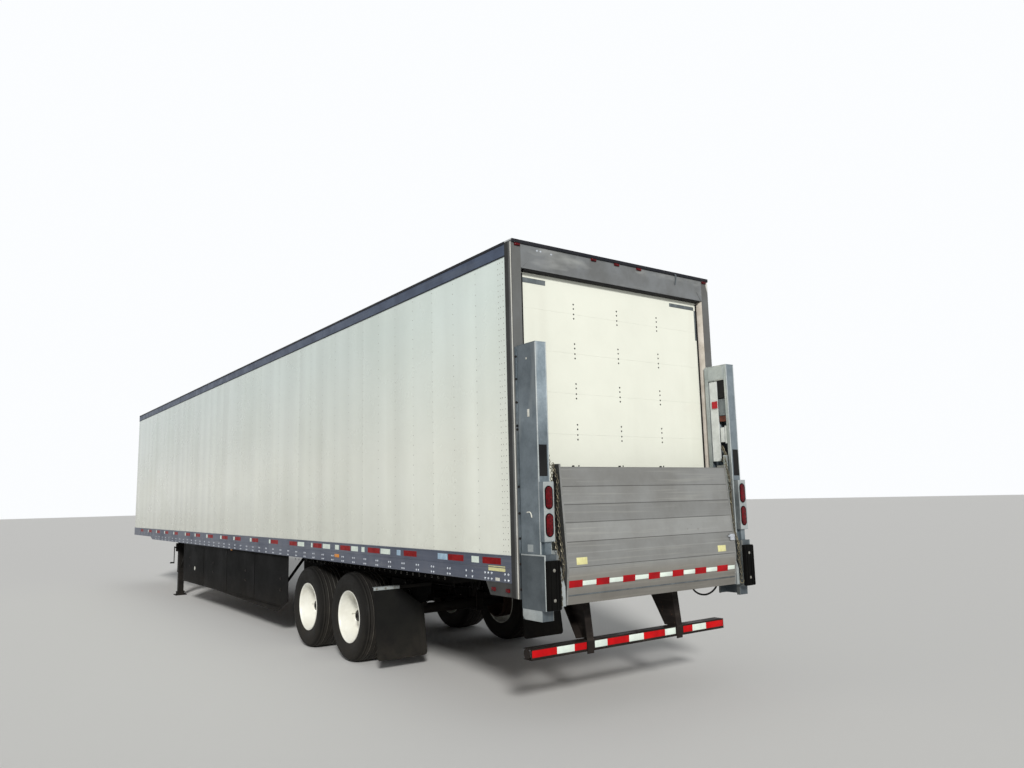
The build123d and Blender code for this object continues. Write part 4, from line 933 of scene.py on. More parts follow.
@dataclass(frozen=True)
class TyreRubber(Finish):
    """Tyre rubber with fine cuts across its tread and rings on its walls, round one axle."""

    axle_x: float = 0.0
    axle_z: float = 0.509
    tread: float = 0.486
    middle_y: float = 1.077
    lines: tuple[float, ...] = (0.104, 0.052, 0.0, -0.052, -0.104)

    def turned(self, graph: Graph, vector: Socket) -> Socket:
        """The place as seen from the axle."""
        centre = (-self.axle_x, 0.0, -self.axle_z)
        return graph.node("Mapping", {"Vector": vector, "Location": centre}).outputs[0]

    def radius(self, graph: Graph, vector: Socket) -> Socket:
        """Distance from the axle's line."""
        flat = graph.tinted(self.turned(graph, vector), (1.0, 0.0, 1.0))
        return graph.node("VectorMath", {0: flat}, operation="LENGTH").outputs["Value"]

    def colours(self, graph: Graph, vector: Socket) -> Pair:
        """Rubber that is lighter on its ribs and along fine lines, and darker in its grooves.

        Args:
            graph: the material's graph.
            vector: the place on the object.

        Returns:
            The colour and the roughness's mask.
        """
        colour, mask = super().colours(graph, vector)
        radius = self.radius(graph, vector)
        radial_lift = graph.add(
            graph.ramp(radius, 0.494, 0.499, 0.0, 0.7), graph.ramp(radius, 0.33, 0.46, 0.35, 0.0))
        out = graph.minus(graph.maths("ABSOLUTE", graph.axes(vector)[1]), self.middle_y)
        for line in self.lines:
            near = graph.ramp(graph.off(out, line), 0.003, 0.007, 6.5, 0.0)
            radial_lift = graph.add(graph.times(near, graph.ramp(radius, 0.48, 0.486)), radial_lift)
        return graph.scaled(colour, graph.add(radial_lift, graph.ramp(radius, 0.47, 0.49, 0.85, 0.45))), mask

    def height(self, graph: Graph, vector: Socket) -> Socket:
        """Cuts across the tread's ribs, moulded rings on the walls and a fine grain.

        Args:
            graph: the material's graph.
            vector: the place on the object.

        Returns:
            The height.
        """
        x, y, z = graph.axes(self.turned(graph, vector))
        turns = graph.times(graph.maths("ARCTAN2", z, x), 110.0)
        cuts = graph.maths("SINE", graph.add(turns, graph.times(y, 60.0)))
        radius = self.radius(graph, vector)
        rings = graph.maths("SINE", graph.times(radius, 420.0))
        tread = graph.ramp(radius, self.tread, self.tread + 0.006)
        inputs = {0: tread, 2: rings, 3: graph.ramp(cuts, 0.8, 1.0, 0.0, -2.5)}
        pattern = graph.node("Mix", inputs, data_type="FLOAT").outputs[0]
        return graph.add(pattern, super().height(graph, vector))


# White body sheet: real dust and streaks, plus painted reflections and painted light along the wall
WHITE_SHEET = SheetPaint(
    "white_body_sheet", (229, 232, 222), (222, 225, 214), rough=(0.2, 0.34), coat=0.35, patch=0.7, grain=24.0,
    grain_depth=0.0006, stretch=(2.2, 2.2, 0.18), mark=(196, 196, 184), mark_start=0.52, mark_amount=0.16,
    dust=0.16, dust_low=1.25, dust_high=2.0)
NOSE_SHEET = Finish(
    "white_nose_sheet", (226, 229, 220), (216, 219, 210), rough=(0.22, 0.36), coat=0.35, patch=0.9,
    grain=24.0, grain_depth=0.0006, stretch=(2.5, 2.5, 0.2), mark=(190, 188, 176), mark_amount=0.2, dust=0.2,
    dust_low=1.25, dust_high=2.4)
DOOR_WHITE = Finish(
    "white_door_skin", (232, 234, 222), (227, 229, 217), rough=(0.3, 0.42), coat=0.15, patch=1.4, grain=30.0,
    grain_depth=0.0004, stretch=(3.0, 3.0, 0.3), mark=(206, 205, 192), mark_start=0.54, mark_amount=0.18)
ROOF_SHEET = Finish(
    "satin_roof_sheet", (196, 198, 198), (182, 184, 184), rough=(0.38, 0.52), metallic=0.4, patch=0.8,
    grain=12.0, grain_depth=0.002, stretch=(0.5, 3.0, 1.0), mark=(150, 148, 140), mark_amount=0.3)
RAIL_GREY = Finish(
    "blue_grey_side_rail", (90, 98, 116), (76, 84, 102), rough=(0.38, 0.55), metallic=0.3, patch=1.3,
    specular=0.4, grain=140.0, stretch=(0.7, 8.0, 30.0), mark=(122, 126, 134), mark_amount=0.3, dust=0.12,
    dust_low=1.12, dust_high=1.5, wear=0.3, bare=(150, 150, 150))
TOP_RAIL_GREY = Finish(
    "dark_grey_top_rail", (72, 85, 108), (64, 74, 94), rough=(0.36, 0.5), metallic=0.3, patch=4.0,
    specular=0.4, grain=120.0, stretch=(0.8, 10.0, 40.0), mark=(100, 108, 118), mark_amount=0.3)
FRAME_GREY = Finish(
    "weathered_header", (124, 127, 129), (108, 110, 110), rough=(0.42, 0.6), metallic=0.3, patch=3.4,
    grain=160.0, stretch=(6.0, 1.4, 5.0), mark=(170, 172, 170), mark_start=0.54, mark_amount=0.6, wear=0.35,
    bare=(112, 96, 82))
# Weathered post paint, with painted shade on the posts' outer sides
POST_GREY = FramePaint(
    "weathered_corner_post", (108, 110, 110), (96, 96, 94), rough=(0.45, 0.62), metallic=0.2, patch=2.6,
    specular=0.3, grain=160.0, stretch=(5.0, 5.0, 1.2), mark=(142, 142, 138), mark_start=0.55,
    mark_amount=0.4, wear=0.4, bare=(104, 88, 74))
# Bright edge: a painted highlight on the posts' rounded corner beads, and rubbed paint on the scuff at a
# post's top
BRIGHT_EDGE = Finish(
    "rubbed_bright_edge", (222, 221, 214), (196, 194, 186), rough=(0.3, 0.5), metallic=0.1, patch=6.0,
    grain=120.0, wear=0.35, bare=(140, 126, 110))
# Pale jamb: painted sunlight on its inner face, with real wear and streaks of dirt
JAMB_PALE = Finish(
    "pale_worn_jamb", (200, 193, 183), (174, 166, 154), rough=(0.4, 0.6), patch=7.0, grain=140.0,
    stretch=(6.0, 6.0, 1.5), mark=(150, 136, 122), mark_amount=0.4, wear=0.4, bare=(126, 106, 92))
DARK_EDGE = Finish(
    "dark_roof_edge", (28, 30, 36), (40, 40, 44), rough=(0.45, 0.6), specular=0.15, patch=3.0, wear=0.4,
    bare=(82, 70, 60))
# Column zinc, with painted light and shade on its faces
ZINC = ColumnZinc(
    "galvanised_steel", (128, 139, 146), (104, 115, 122), rough=(0.34, 0.5), metallic=0.5, patch=4.6,
    grain=110.0, spangle=70.0, spangle_depth=0.07, stretch=(5.0, 5.0, 1.4), mark=(168, 174, 176),
    mark_start=0.55, mark_amount=0.5, wear=0.25, bare=(150, 144, 134))
PALE_ZINC = Finish(
    "pale_galvanised_steel", (178, 184, 184), (158, 165, 166), rough=(0.34, 0.5), metallic=0.4, patch=5.0,
    grain=130.0, spangle=80.0, spangle_depth=0.06, wear=0.3, bare=(140, 130, 118))
# Platform planks, with a painted highlight along the bend
PLANK_METAL = PlankMetal(
    "scuffed_platform_planks", (158, 159, 157), (144, 144, 141), rough=(0.34, 0.52), metallic=0.5, patch=2.2,
    grain=150.0, grain_depth=0.0003, stretch=(9.0, 1.1, 46.0), mark=(180, 180, 174), mark_start=0.54,
    mark_amount=0.4, wear=0.35, bare=(112, 104, 98))
# Platform side bars, with painted shade on their outer faces
SIDE_BAR_METAL = FramePaint(
    "dull_platform_side", (146, 147, 145), (128, 129, 126), rough=(0.4, 0.6), metallic=0.45, patch=6.0,
    grain=120.0, wear=0.6, bare=(140, 138, 132), side_y=1.0645, side_shade=0.3, edge_shade=0.3)
CHASSIS_BLACK = Finish(
    "chassis_black", (18, 18, 19), (25, 24, 23), rough=(0.5, 0.72), specular=0.06, patch=4.0, grain=120.0,
    dust=0.05, dust_low=0.3, dust_high=1.4, wear=0.3, bare=(60, 44, 36))
GUARD_BLACK = Finish(
    "guard_black_paint", (23, 19, 19), (31, 27, 26), rough=(0.4, 0.6), specular=0.08, patch=5.0, grain=140.0,
    stretch=(2.0, 3.0, 20.0), mark=(66, 60, 55), mark_amount=0.3, dust=0.05, dust_low=0.35, dust_high=1.1,
    wear=0.6, bare=(88, 60, 46))
SKIRT_BLACK = Finish(
    "matt_black_skirt", (15, 15, 16), (19, 19, 19), rough=(0.55, 0.72), specular=0.04, patch=1.6, grain=220.0,
    stretch=(0.9, 4.0, 5.0), mark=(30, 30, 29), mark_amount=0.3, dust=0.05, dust_low=0.35, dust_high=0.7)
FLAP_RUBBER = Finish(
    "mud_flap_rubber", (24, 24, 24), (31, 31, 29), rough=(0.55, 0.75), specular=0.06, patch=3.0, grain=260.0,
    grain_depth=0.0006, stretch=(4.0, 5.0, 0.8), mark=(46, 44, 40), mark_amount=0.3, dust=0.06, dust_low=0.1,
    dust_high=0.5)
BLACK_RUBBER = Finish(
    "black_moulded_rubber", (13, 13, 13), (19, 19, 18), rough=(0.6, 0.8), specular=0.04, patch=8.0,
    grain=240.0, grain_depth=0.0008)
WHEEL_WHITE = Finish(
    "white_wheel_enamel", (238, 238, 230), (228, 227, 217), rough=(0.22, 0.4), coat=0.3, patch=7.0,
    grain=60.0, grain_depth=0.0003, dust=0.1, dust_low=0.1, dust_high=0.9, wear=0.25, bare=(170, 150, 128))
HUB_GREY = Finish(
    "greasy_hub", (38, 36, 34), (56, 52, 48), rough=(0.35, 0.6), metallic=0.3, specular=0.2, patch=18.0,
    wear=0.7, bare=(100, 92, 82))
DRUM_IRON = Finish(
    "brake_drum_iron", (52, 43, 38), (70, 54, 44), rough=(0.6, 0.8), metallic=0.2, specular=0.2, patch=14.0,
    grain=160.0, grain_depth=0.001)
NUT_STEEL = Finish(
    "zinc_plated_bolt", (176, 176, 170), (140, 136, 126), rough=(0.3, 0.5), metallic=0.7, patch=30.0,
    grain=200.0)
DARK_BOLT = Finish(
    "dark_bolt", (30, 30, 32), (52, 46, 42), rough=(0.45, 0.6), metallic=0.2, specular=0.2, patch=30.0,
    grain=200.0)
BRIGHT_RIVET = Finish(
    "bright_rivet", (202, 208, 216), (180, 185, 193), rough=(0.22, 0.35), metallic=0.3, patch=30.0,
    grain=260.0)
SHEET_RIVET = Finish(
    "painted_rivet", (160, 162, 154), (146, 147, 138), rough=(0.3, 0.45), coat=0.2, patch=12.0, grain=200.0)
CHAIN_STEEL = Finish(
    "dull_chain", (128, 122, 104), (84, 78, 64), rough=(0.38, 0.62), metallic=0.6, patch=26.0, grain=220.0,
    wear=0.9, bare=(176, 168, 140))
HOSE_BLACK = Finish(
    "black_hose", (22, 22, 23), (32, 31, 30), rough=(0.45, 0.62), specular=0.15, patch=20.0, grain=320.0)
RED_TAPE = TapeSheet(
    "red_reflecting_tape", (198, 18, 22), (176, 16, 22), rough=(0.3, 0.45), specular=0.08, patch=9.0,
    grain=170.0, grain_depth=0.0003, wear=0.15, bare=(120, 36, 36))
PLATFORM_RED_TAPE = TapeSheet(
    "red_platform_tape", (168, 24, 30), (144, 22, 28), rough=(0.3, 0.45), specular=0.08, patch=9.0,
    grain=170.0, grain_depth=0.0003, wear=0.2, bare=(124, 50, 50))
RAIL_RED_TAPE = TapeSheet(
    "red_side_tape", (146, 12, 16), (124, 12, 16), rough=(0.3, 0.45), specular=0.08, patch=9.0, grain=170.0,
    grain_depth=0.0003, wear=0.15, bare=(104, 34, 34))
WHITE_TAPE = TapeSheet(
    "white_reflecting_tape", (230, 243, 232), (212, 224, 216), rough=(0.25, 0.4), coat=0.2, patch=9.0,
    grain=170.0, grain_depth=0.0003, dust=0.08, dust_low=1.0, dust_high=1.6)
BLUISH_TAPE = TapeSheet(
    "bluish_reflecting_tape", (176, 204, 222), (140, 170, 196), rough=(0.25, 0.4), coat=0.2, patch=14.0,
    grain=170.0, grain_depth=0.0003)
RED_LENS = LampLens(
    "red_lamp_lens", (104, 10, 18), (58, 4, 10), rough=(0.12, 0.2), coat=0.12, specular=0.1, patch=40.0,
    grain=520.0, grain_depth=0.0006)
AMBER_LENS = LampLens(
    "amber_lamp_lens", (222, 142, 32), (196, 116, 20), rough=(0.12, 0.2), coat=0.25, specular=0.2, patch=40.0,
    grain=520.0, grain_depth=0.0006)
LABEL_YELLOW = Finish(
    "blank_yellow_label", (222, 218, 160), (208, 202, 142), rough=(0.3, 0.42), coat=0.1, patch=30.0, wear=0.2,
    bare=(226, 224, 204))
LABEL_PALE = Finish(
    "blank_pale_label", (222, 222, 212), (200, 199, 188), rough=(0.32, 0.5), coat=0.1, patch=30.0, wear=0.4,
    bare=(170, 166, 156))
SEAL_DARK = Finish(
    "dark_door_seal", (30, 30, 32), (40, 39, 38), rough=(0.6, 0.78), specular=0.1, patch=12.0, grain=240.0,
    grain_depth=0.0008)
BLACK_BOX = Finish(
    "black_box_paint", (25, 25, 27), (34, 34, 34), rough=(0.42, 0.6), specular=0.12, patch=3.0, grain=200.0,
    dust=0.05, dust_low=0.6, dust_high=1.2, wear=0.3, bare=(70, 67, 62))
FLOOR_WOOD = Finish(
    "laminated_floor", (168, 140, 104), (140, 112, 80), rough=(0.45, 0.62), patch=3.0, grain=90.0,
    stretch=(0.8, 30.0, 2.0), mark=(112, 86, 58), mark_start=0.48, mark_amount=0.6)
COUPLER_STEEL = Finish(
    "greased_coupler_steel", (92, 88, 82), (60, 55, 48), rough=(0.3, 0.55), metallic=0.6, patch=5.0,
    stretch=(3.0, 8.0, 3.0), mark=(40, 36, 32), mark_amount=0.6)
CYLINDER_PALE = Finish(
    "pale_cylinder_paint", (214, 218, 216), (190, 194, 192), rough=(0.3, 0.45), coat=0.2, patch=9.0, wear=0.4,
    bare=(150, 140, 124))
GREY_STEEL = Finish(
    "dull_grey_steel", (104, 112, 116), (84, 90, 94), rough=(0.3, 0.48), metallic=0.4, patch=9.0,
    stretch=(8.0, 8.0, 1.0), mark=(140, 146, 148), mark_amount=0.4, wear=0.3, bare=(130, 120, 108))
RUST_BROWN = Finish(
    "rusty_bracket", (112, 62, 48), (82, 48, 40), rough=(0.6, 0.8), specular=0.2, patch=20.0, grain=160.0)
RED_TAG = Finish("red_tag", (186, 40, 48), (162, 30, 38), rough=(0.4, 0.55), specular=0.2, patch=30.0)

DRESSED_NODES: dict[Finish, str] = {
    FLOOR_WOOD: "floor_deck", RAIL_GREY: "bottom_rails nose_rails", WHITE_SHEET: "side_walls",
    TOP_RAIL_GREY: "top_rails", ROOF_SHEET: "roof_panel", NOSE_SHEET: "nose_wall", POST_GREY: "rear_posts",
    FRAME_GREY: "rear_cross_rails", DOOR_WHITE: "door_panels", COUPLER_STEEL: "upper_coupler kingpin",
    BLACK_BOX: "front_connectors power_box", SKIRT_BLACK: "side_skirts", FLAP_RUBBER: "mud_flaps",
    GUARD_BLACK: "rear_guard", ZINC: "lift_columns", GREY_STEEL: "lift_cylinders", PALE_ZINC: "lift_carriage",
    PLANK_METAL: "platform_planks", SIDE_BAR_METAL: "platform_sides",
    CHASSIS_BLACK: "crossmembers landing_legs landing_braces body_slide_rails slider_frame trailing_arms "
                   "shock_absorbers axles air_tanks flap_hangers"}


def dress_nodes() -> None:
    """Gives each CAD node that stays its finish."""
    for finish, names in DRESSED_NODES.items():
        for name in names.split():
            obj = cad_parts[name]
            if not obj.material_slots:
                obj.data.materials.append(finish.material())
            for slot in obj.material_slots:
                slot.material = finish.material()
            log.info("dressed %s as %s", name, finish.name)


@dataclass
class Assembly:
    """A group of pieces that rides on one body of the frame."""

    body: str = "trailer"

    def finish(self, obj: Object, finish: Finish, slot: str, *stands_for: str) -> Object:
        """Dresses a piece and makes it ride.

        Args:
            obj: the finished piece.
            finish: its surface.
            slot: the record's material slot; it is not used.
            stands_for: CAD nodes that the piece replaces.

        Returns:
            The same object.
        """
        obj.data.materials.clear()
        obj.data.materials.append(finish.material())
        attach(obj, self.body)
        if stands_for:
            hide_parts(*stands_for)
        log.info("built %s on %s", obj.name, self.body)
        return obj

    def pair(self, obj: Object, finish: Finish, slot: str, *stands_for: str) -> Object:
        """Dresses a piece together with its mirror image on the other side."""
        return self.finish(Bench.both_sides(obj), finish, slot, *stands_for)

    def group(
            self, name: str, parts: Sequence[Object], finish: Finish, slot: str, *stands_for: str) -> Object:
        """Joins shapes into one piece and dresses it."""
        return self.finish(Bench.join(name, parts), finish, slot, *stands_for)

    def slab(self, name: str, low: Point, high: Point, finish: Finish, slot: str, round_off: float = 0.0,
             both: bool = True, **shape: tuple) -> Object:
        """A dressed block.

        Args:
            name: the piece's name.
            low: lowest corner.
            high: highest corner.
            finish: its surface.
            slot: the record's material slot.
            round_off: width of the bevel on all edges, or 0 for none.
            both: whether the other side of the trailer has it too.
            shape: the inset or the edges of Bench.block().

        Returns:
            The new object.
        """
        obj = Bench.block(name, low, high, round_off, **shape)
        return self.pair(obj, finish, slot) if both else self.finish(obj, finish, slot)

    def spread(self, name: str, master: Object, places: Sequence[Matrix], finish: Finish, slot: str,
               *stands_for: str) -> Object:
        """Copies a shape to many places as one piece and dresses it."""
        return self.finish(Bench.copies(name, master, places), finish, slot, *stands_for)


def facing(side: float, x: float, y: float, z: float) -> Matrix:
    """Place for a copy whose +Y looks out of the left side, or with side -1 of the right."""
    turn = Matrix.Identity(4) if side > 0 else Matrix.Rotation(math.pi, 4, "Z")
    return Matrix.Translation(at(x, side * y, z)) @ turn


def facing_rear(x: float, y: float, z: float) -> Matrix:
    """Place for a copy whose +Y looks out to the rear."""
    return Matrix.Translation(at(x, y, z)) @ Matrix.Rotation(math.pi / 2, 4, "Z")


@dataclass
class StudioView:
    """Camera at the photograph's viewing angle, soft key light, even sky and a plain pale floor."""

    eye: tuple[float, float, float] = (-5.4266, 5.2525, 1.83)
    yaw: float = -35.9101
    pitch: float = 8.2962
    roll: float = -1.3724
    lens: float = 27.705
    sensor: float = 36.0
    sun_way: tuple[float, float, float] = (-0.8, 0.43, 0.44)
    sun_strength: float = 2.9
    sky: float = 0.3
    glossy_sky: float = 0.62

    def camera(self) -> None:
        """Sets the camera up."""
        yaw, pitch, roll = (math.radians(a) for a in (self.yaw, self.pitch, self.roll))
        ahead = Vector((math.cos(yaw) * math.cos(pitch), math.sin(yaw) * math.cos(pitch), math.sin(pitch)))
        level = Vector((math.sin(yaw), -math.cos(yaw), 0.0))
        upright = level.cross(ahead)
        right = math.cos(roll) * level + math.sin(roll) * upright
        up = -math.sin(roll) * level + math.cos(roll) * upright
        data = bpy.data.cameras.new("camera")
        data.lens = self.lens
        data.sensor_width = self.sensor
        data.sensor_fit = "HORIZONTAL"
        data.clip_end = 400.0
        obj = bpy.data.objects.new("camera", data)
        bpy.context.collection.objects.link(obj)
        turn = Matrix((right, up, -ahead)).transposed().to_4x4()
        obj.matrix_world = Matrix.Translation(at(self.eye[0], self.eye[1], self.eye[2])) @ turn
        bpy.context.scene.camera = obj

    def light(self) -> None:
        """Sets up the key light and the world."""
        data = bpy.data.lights.new("key", "SUN")
        data.energy = self.sun_strength
        data.angle = math.radians(9.0)
        data.color = (1.0, 0.985, 0.95)
        obj = bpy.data.objects.new("key", data)
        bpy.context.collection.objects.link(obj)
        obj.rotation_euler = Vector(self.sun_way).to_track_quat("Z", "Y").to_euler()
        world = bpy.data.worlds.new("even_sky")
        bpy.context.scene.world = world
        world.use_nodes = True
        world.node_tree.nodes.clear()
        graph = Graph(world.node_tree)
        path = graph.node("LightPath")
        seen = graph.maths("MAXIMUM", path.outputs["Is Camera Ray"], path.outputs["Is Transmission Ray"])
        shine = graph.maths("MAXIMUM", seen, graph.times(path.outputs["Is Glossy Ray"], self.glossy_sky))
        strength = graph.ramp(shine, 0.0, 1.0, self.sky, 1.0)
        back = graph.node("Background", {"Color": (0.97, 0.985, 1.0, 1.0), "Strength": strength})
        graph.node("OutputWorld", {0: back.outputs[0]})

    def floor(self) -> None:
        """Lays the pale floor."""
        Bench.hold()
        bpy.ops.mesh.primitive_plane_add(size=400.0, location=(0.0, 0.0, -0.001))
        obj = Bench.name("floor")
        made = bpy.data.materials.new("pale_floor")
        made.use_nodes = True
        shader = made.node_tree.nodes["Principled BSDF"]
        shader.inputs["Base Color"].default_value = (0.72, 0.72, 0.71, 1.0)
        shader.inputs["Roughness"].default_value = 0.9
        obj.data.materials.append(made)

    def build(self) -> None:
        """Sets the whole view up."""
        self.camera()
        self.light()
        self.floor()
        scene = bpy.context.scene
        scene.view_settings.view_transform = "Standard"


@dataclass
class HangingHose(Assembly):
    """The hose that hangs in a loop under the rear frame on the right."""

    x: float = 0.035
    radius: float = 0.009
    length: float = 0.6
    route: tuple[Span, ...] = (
        (-0.812, 1.003), (-0.832, 0.915), (-0.925, 0.852), (-1.04, 0.833), (-1.15, 0.862), (-1.222, 0.925),
        (-1.238, 1.003))

    def build(self) -> None:
        """Lays the hose on the route's points."""
        route = [at(self.x, y, z) for y, z in self.route]
        hose = Bench.line("hanging_loop", route, self.radius, 5, 16)
        self.finish(hose, HOSE_BLACK, "hose_rubber", "hanging_hose")


@dataclass
class SideSheets(Assembly):
    """The body's side sheets: flat on their posts, bulged between them, with their rows of rivets."""

    pitch: float = 0.4064
    first: float = 0.19
    flat: float = 0.08
    bulge: float = 0.003
    fade: float = 0.16
    rivet_pitch: float = 0.102

    def swell(self, x: float, z: float, low: float, high: float) -> float:
        """How far the sheet bulges at a place.

        Args:
            x: the frame's X.
            z: height.
            low: the sheet's lower edge.
            high: its upper edge.

        Returns:
            The distance.
        """
        bay = (x - rear(self.first)) / self.pitch
        off = abs(bay - round(bay)) * self.pitch
        share = min(max((off - self.flat / 2) / ((self.pitch - self.flat) / 2), 0.0), 1.0)
        number = math.floor(bay)
        size = self.bulge * (
            0.62 + 0.38 * math.sin(number * 2.4)) * (1.0 + 0.22 * math.sin(z * 2.6 + number * 1.7))
        edge = min((z - low) / self.fade, (high - z) / self.fade, 1.0)
        return size * share * (2.0 - share) * max(edge, 0.0)

    def sheet(self, side: float) -> Object:
        """One side's sheet.

        Args:
            side: 1 for the left side or -1 for the right.

        Returns:
            The new object.
        """
        low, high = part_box("side_walls")
        plane = high.y + 0.0006
        Bench.hold()
        bpy.ops.mesh.primitive_grid_add(
            x_subdivisions=390, y_subdivisions=12, size=1.0, rotation=(math.pi / 2, 0, 0),
            location=((low.x + high.x) / 2, 0, (low.z + high.z) / 2))
        bpy.context.object.scale = (high.x - low.x, high.z - low.z, 1)
        obj = Bench.name("side_sheet_left" if side > 0 else "side_sheet_right")
        for vertex in obj.data.vertices:
            vertex.co.y = side * (plane + self.swell(vertex.co.x, vertex.co.z, low.z, high.z))
        with Bench.edit(obj):
            bpy.ops.mesh.select_all(action="SELECT")
            if side > 0:
                bpy.ops.mesh.flip_normals()
        Bench.modify(obj, "SOLIDIFY", thickness=0.0005, offset=-1.0)
        Bench.smooth(obj, 60)
        return obj

    def rivets(self) -> Object:
        """Rows of rivets on the posts, close together at the rear edge."""
        low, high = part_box("side_walls")
        places = []
        posts = [self.first + self.pitch * k for k in range(39)]
        rows = [(x, self.rivet_pitch) for x in posts] + [(0.148, 0.051), (0.222, 0.051)]
        for x, step in rows:
            for k in range(int((high.z - low.z - 0.06) / step) + 1):
                places += [facing(side, x, high.y + 0.0006, low.z + 0.03 + k * step) for side in SIDES]
        return Bench.copies("side_rivets", Bench.dome(0.0055, 0.0026, 6), places)

    def build(self) -> None:
        """Makes both sheets and their rivets."""
        for side in SIDES:
            self.finish(self.sheet(side), WHITE_SHEET, "white_panel")
        self.finish(self.rivets(), SHEET_RIVET, "white_panel")


@dataclass
class RailTrim(Assembly):
    """What is on the bottom and top rails: tape, rivets, labels, edge beads."""

    tape_z: float = 1.3
    tape_height: float = 0.056
    rivet_z: Span = (1.194, 1.145)
    rivet_first: float = 1.11
    rivet_pitch: float = 0.305
    reds: tuple[Span, ...] = (
        (0.263, 0.548), (0.865, 1.139), (1.755, 2.028), (2.588, 2.883), (3.356, 3.643), (4.22, 4.494),
        (5.077, 5.356), (5.815, 6.11), (6.681, 6.964), (7.547, 7.83), (8.255, 8.572), (9.135, 9.445),
        (9.987, 10.266), (10.715, 11.007), (11.672, 11.94), (12.498, 12.76), (13.272, 13.54), (14.106, 14.38),
        (15.007, 15.27))
    whites: tuple[Span, ...] = (
        (0.607, 0.728), (2.336, 2.563), (2.97, 3.048), (3.146, 3.327), (3.686, 3.796), (3.953, 4.179),
        (4.525, 4.568), (4.813, 5.044), (6.138, 6.193), (7.001, 7.076), (7.866, 7.93), (8.61, 8.68),
        (9.484, 9.56), (10.3, 10.37), (11.04, 11.1), (11.98, 12.04), (12.8, 12.86), (13.58, 13.64),
        (14.42, 14.48))
    blues: tuple[Span, ...] = ((1.153, 1.331), (2.102, 2.184))

    def tape(self, name: str, spans: Sequence[Span]) -> Object:
        """Tape patches on both rails, all cut from one strip.

        Args:
            name: the piece's name.
            spans: where each patch starts and ends.

        Returns:
            The new object.
        """
        places = []
        for start, end in spans:
            for side in SIDES:
                stretch = Matrix.Diagonal((end - start, 1, 1, 1))
                places.append(facing(side, (start + end) / 2, HALF, self.tape_z) @ stretch)
        half = self.tape_height / 2
        patch = Bench.block("patch", (-0.5, 0.0, -half), (0.5, 0.0011, half))
        Bench.bevel(patch, 0.0006, 1, past("+Y", 0.001))
        return Bench.copies(name, patch, places)

    def rivets(self) -> Object:
        """Pairs of rivets where the crossmembers meet the rails, and the extra ones at the rear corner."""
        places = []
        spots = [self.rivet_first + self.rivet_pitch * k + off for k in range(42) for off in (0.0, 0.042)]
        spots += [0.823, 0.719, 0.514, 0.463, 0.41, 0.208, 0.158]
        for x in spots:
            for z in self.rivet_z:
                places += [facing(side, x, HALF, z) for side in SIDES]
        for k in range(6):
            x = self.rivet_first + self.rivet_pitch * (42 + k)
            places += [facing(side, x, HALF, z) for side in SIDES for z in (1.225, 1.262)]
        return Bench.copies("rail_rivets", Bench.dome(0.0115, 0.005, 10), places)

    def top_rivets(self) -> Object:
        """Small rivets along the top rails."""
        places = []
        for k in range(77):
            for z in (4.078, 3.995):
                places += [facing(side, 0.18 + 0.205 * k, HALF, z) for side in SIDES]
        return Bench.copies("top_rail_rivets", Bench.dome(0.008, 0.003, 6), places)

    def beads(self) -> None:
        """Beads along the edges of the bottom and top rails."""
        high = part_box("bottom_rails")[1]
        nose = high.x - 0.005
        rows = (
            ("rail_top_bead", nose, high.z - 0.012, high.z - 0.001, RAIL_GREY, "rail"),
            ("rail_shelf", nose, 1.245, 1.252, RAIL_GREY, "rail"),
            ("top_rail_drip", nose, 4.088, 4.1145, DARK_EDGE, "top_rail"),
            ("top_rail_foot", nose, 3.976, 3.985, DARK_EDGE, "top_rail"),
            ("rail_foot_bead", rear(13.95), 1.1245, 1.133, RAIL_GREY, "rail"))
        rim = (0.0025, 3, past("+Y", HALF + 0.003, "X"))
        for name, end, z0, z1, finish, slot in rows:
            self.slab(name, (rear(0.112), HALF, z0), (end, HALF + 0.004, z1), finish, slot, edges=rim)

    def labels(self) -> None:
        """Blank labels near the rear corner."""
        rows = [
            ("rail_label_yellow", 0.2, 0.457, 1.215, 1.259, LABEL_YELLOW),
            ("rail_label_pale", 0.285, 0.35, 1.133, 1.16, LABEL_PALE)]
        for name, x0, x1, z0, z1, finish in rows:
            self.slab(
                name, at(x0, HALF, z0), at(x1, HALF + 0.001, z1), finish, "rail", 0.0004,
                inset=("+Y", 0.004, 0.0003), both=False)

    def build(self) -> None:
        """Makes all the trim of the rails."""
        self.finish(self.tape("rail_tape_red", self.reds), RAIL_RED_TAPE, "lamp_red")
        self.finish(self.tape("rail_tape_white", self.whites), WHITE_TAPE, "white_panel")
        self.finish(self.tape("rail_tape_bluish", self.blues), BLUISH_TAPE, "white_panel")
        self.finish(self.rivets(), BRIGHT_RIVET, "rail")
        self.finish(self.top_rivets(), TOP_RAIL_GREY, "top_rail")
        self.beads()
        self.labels()


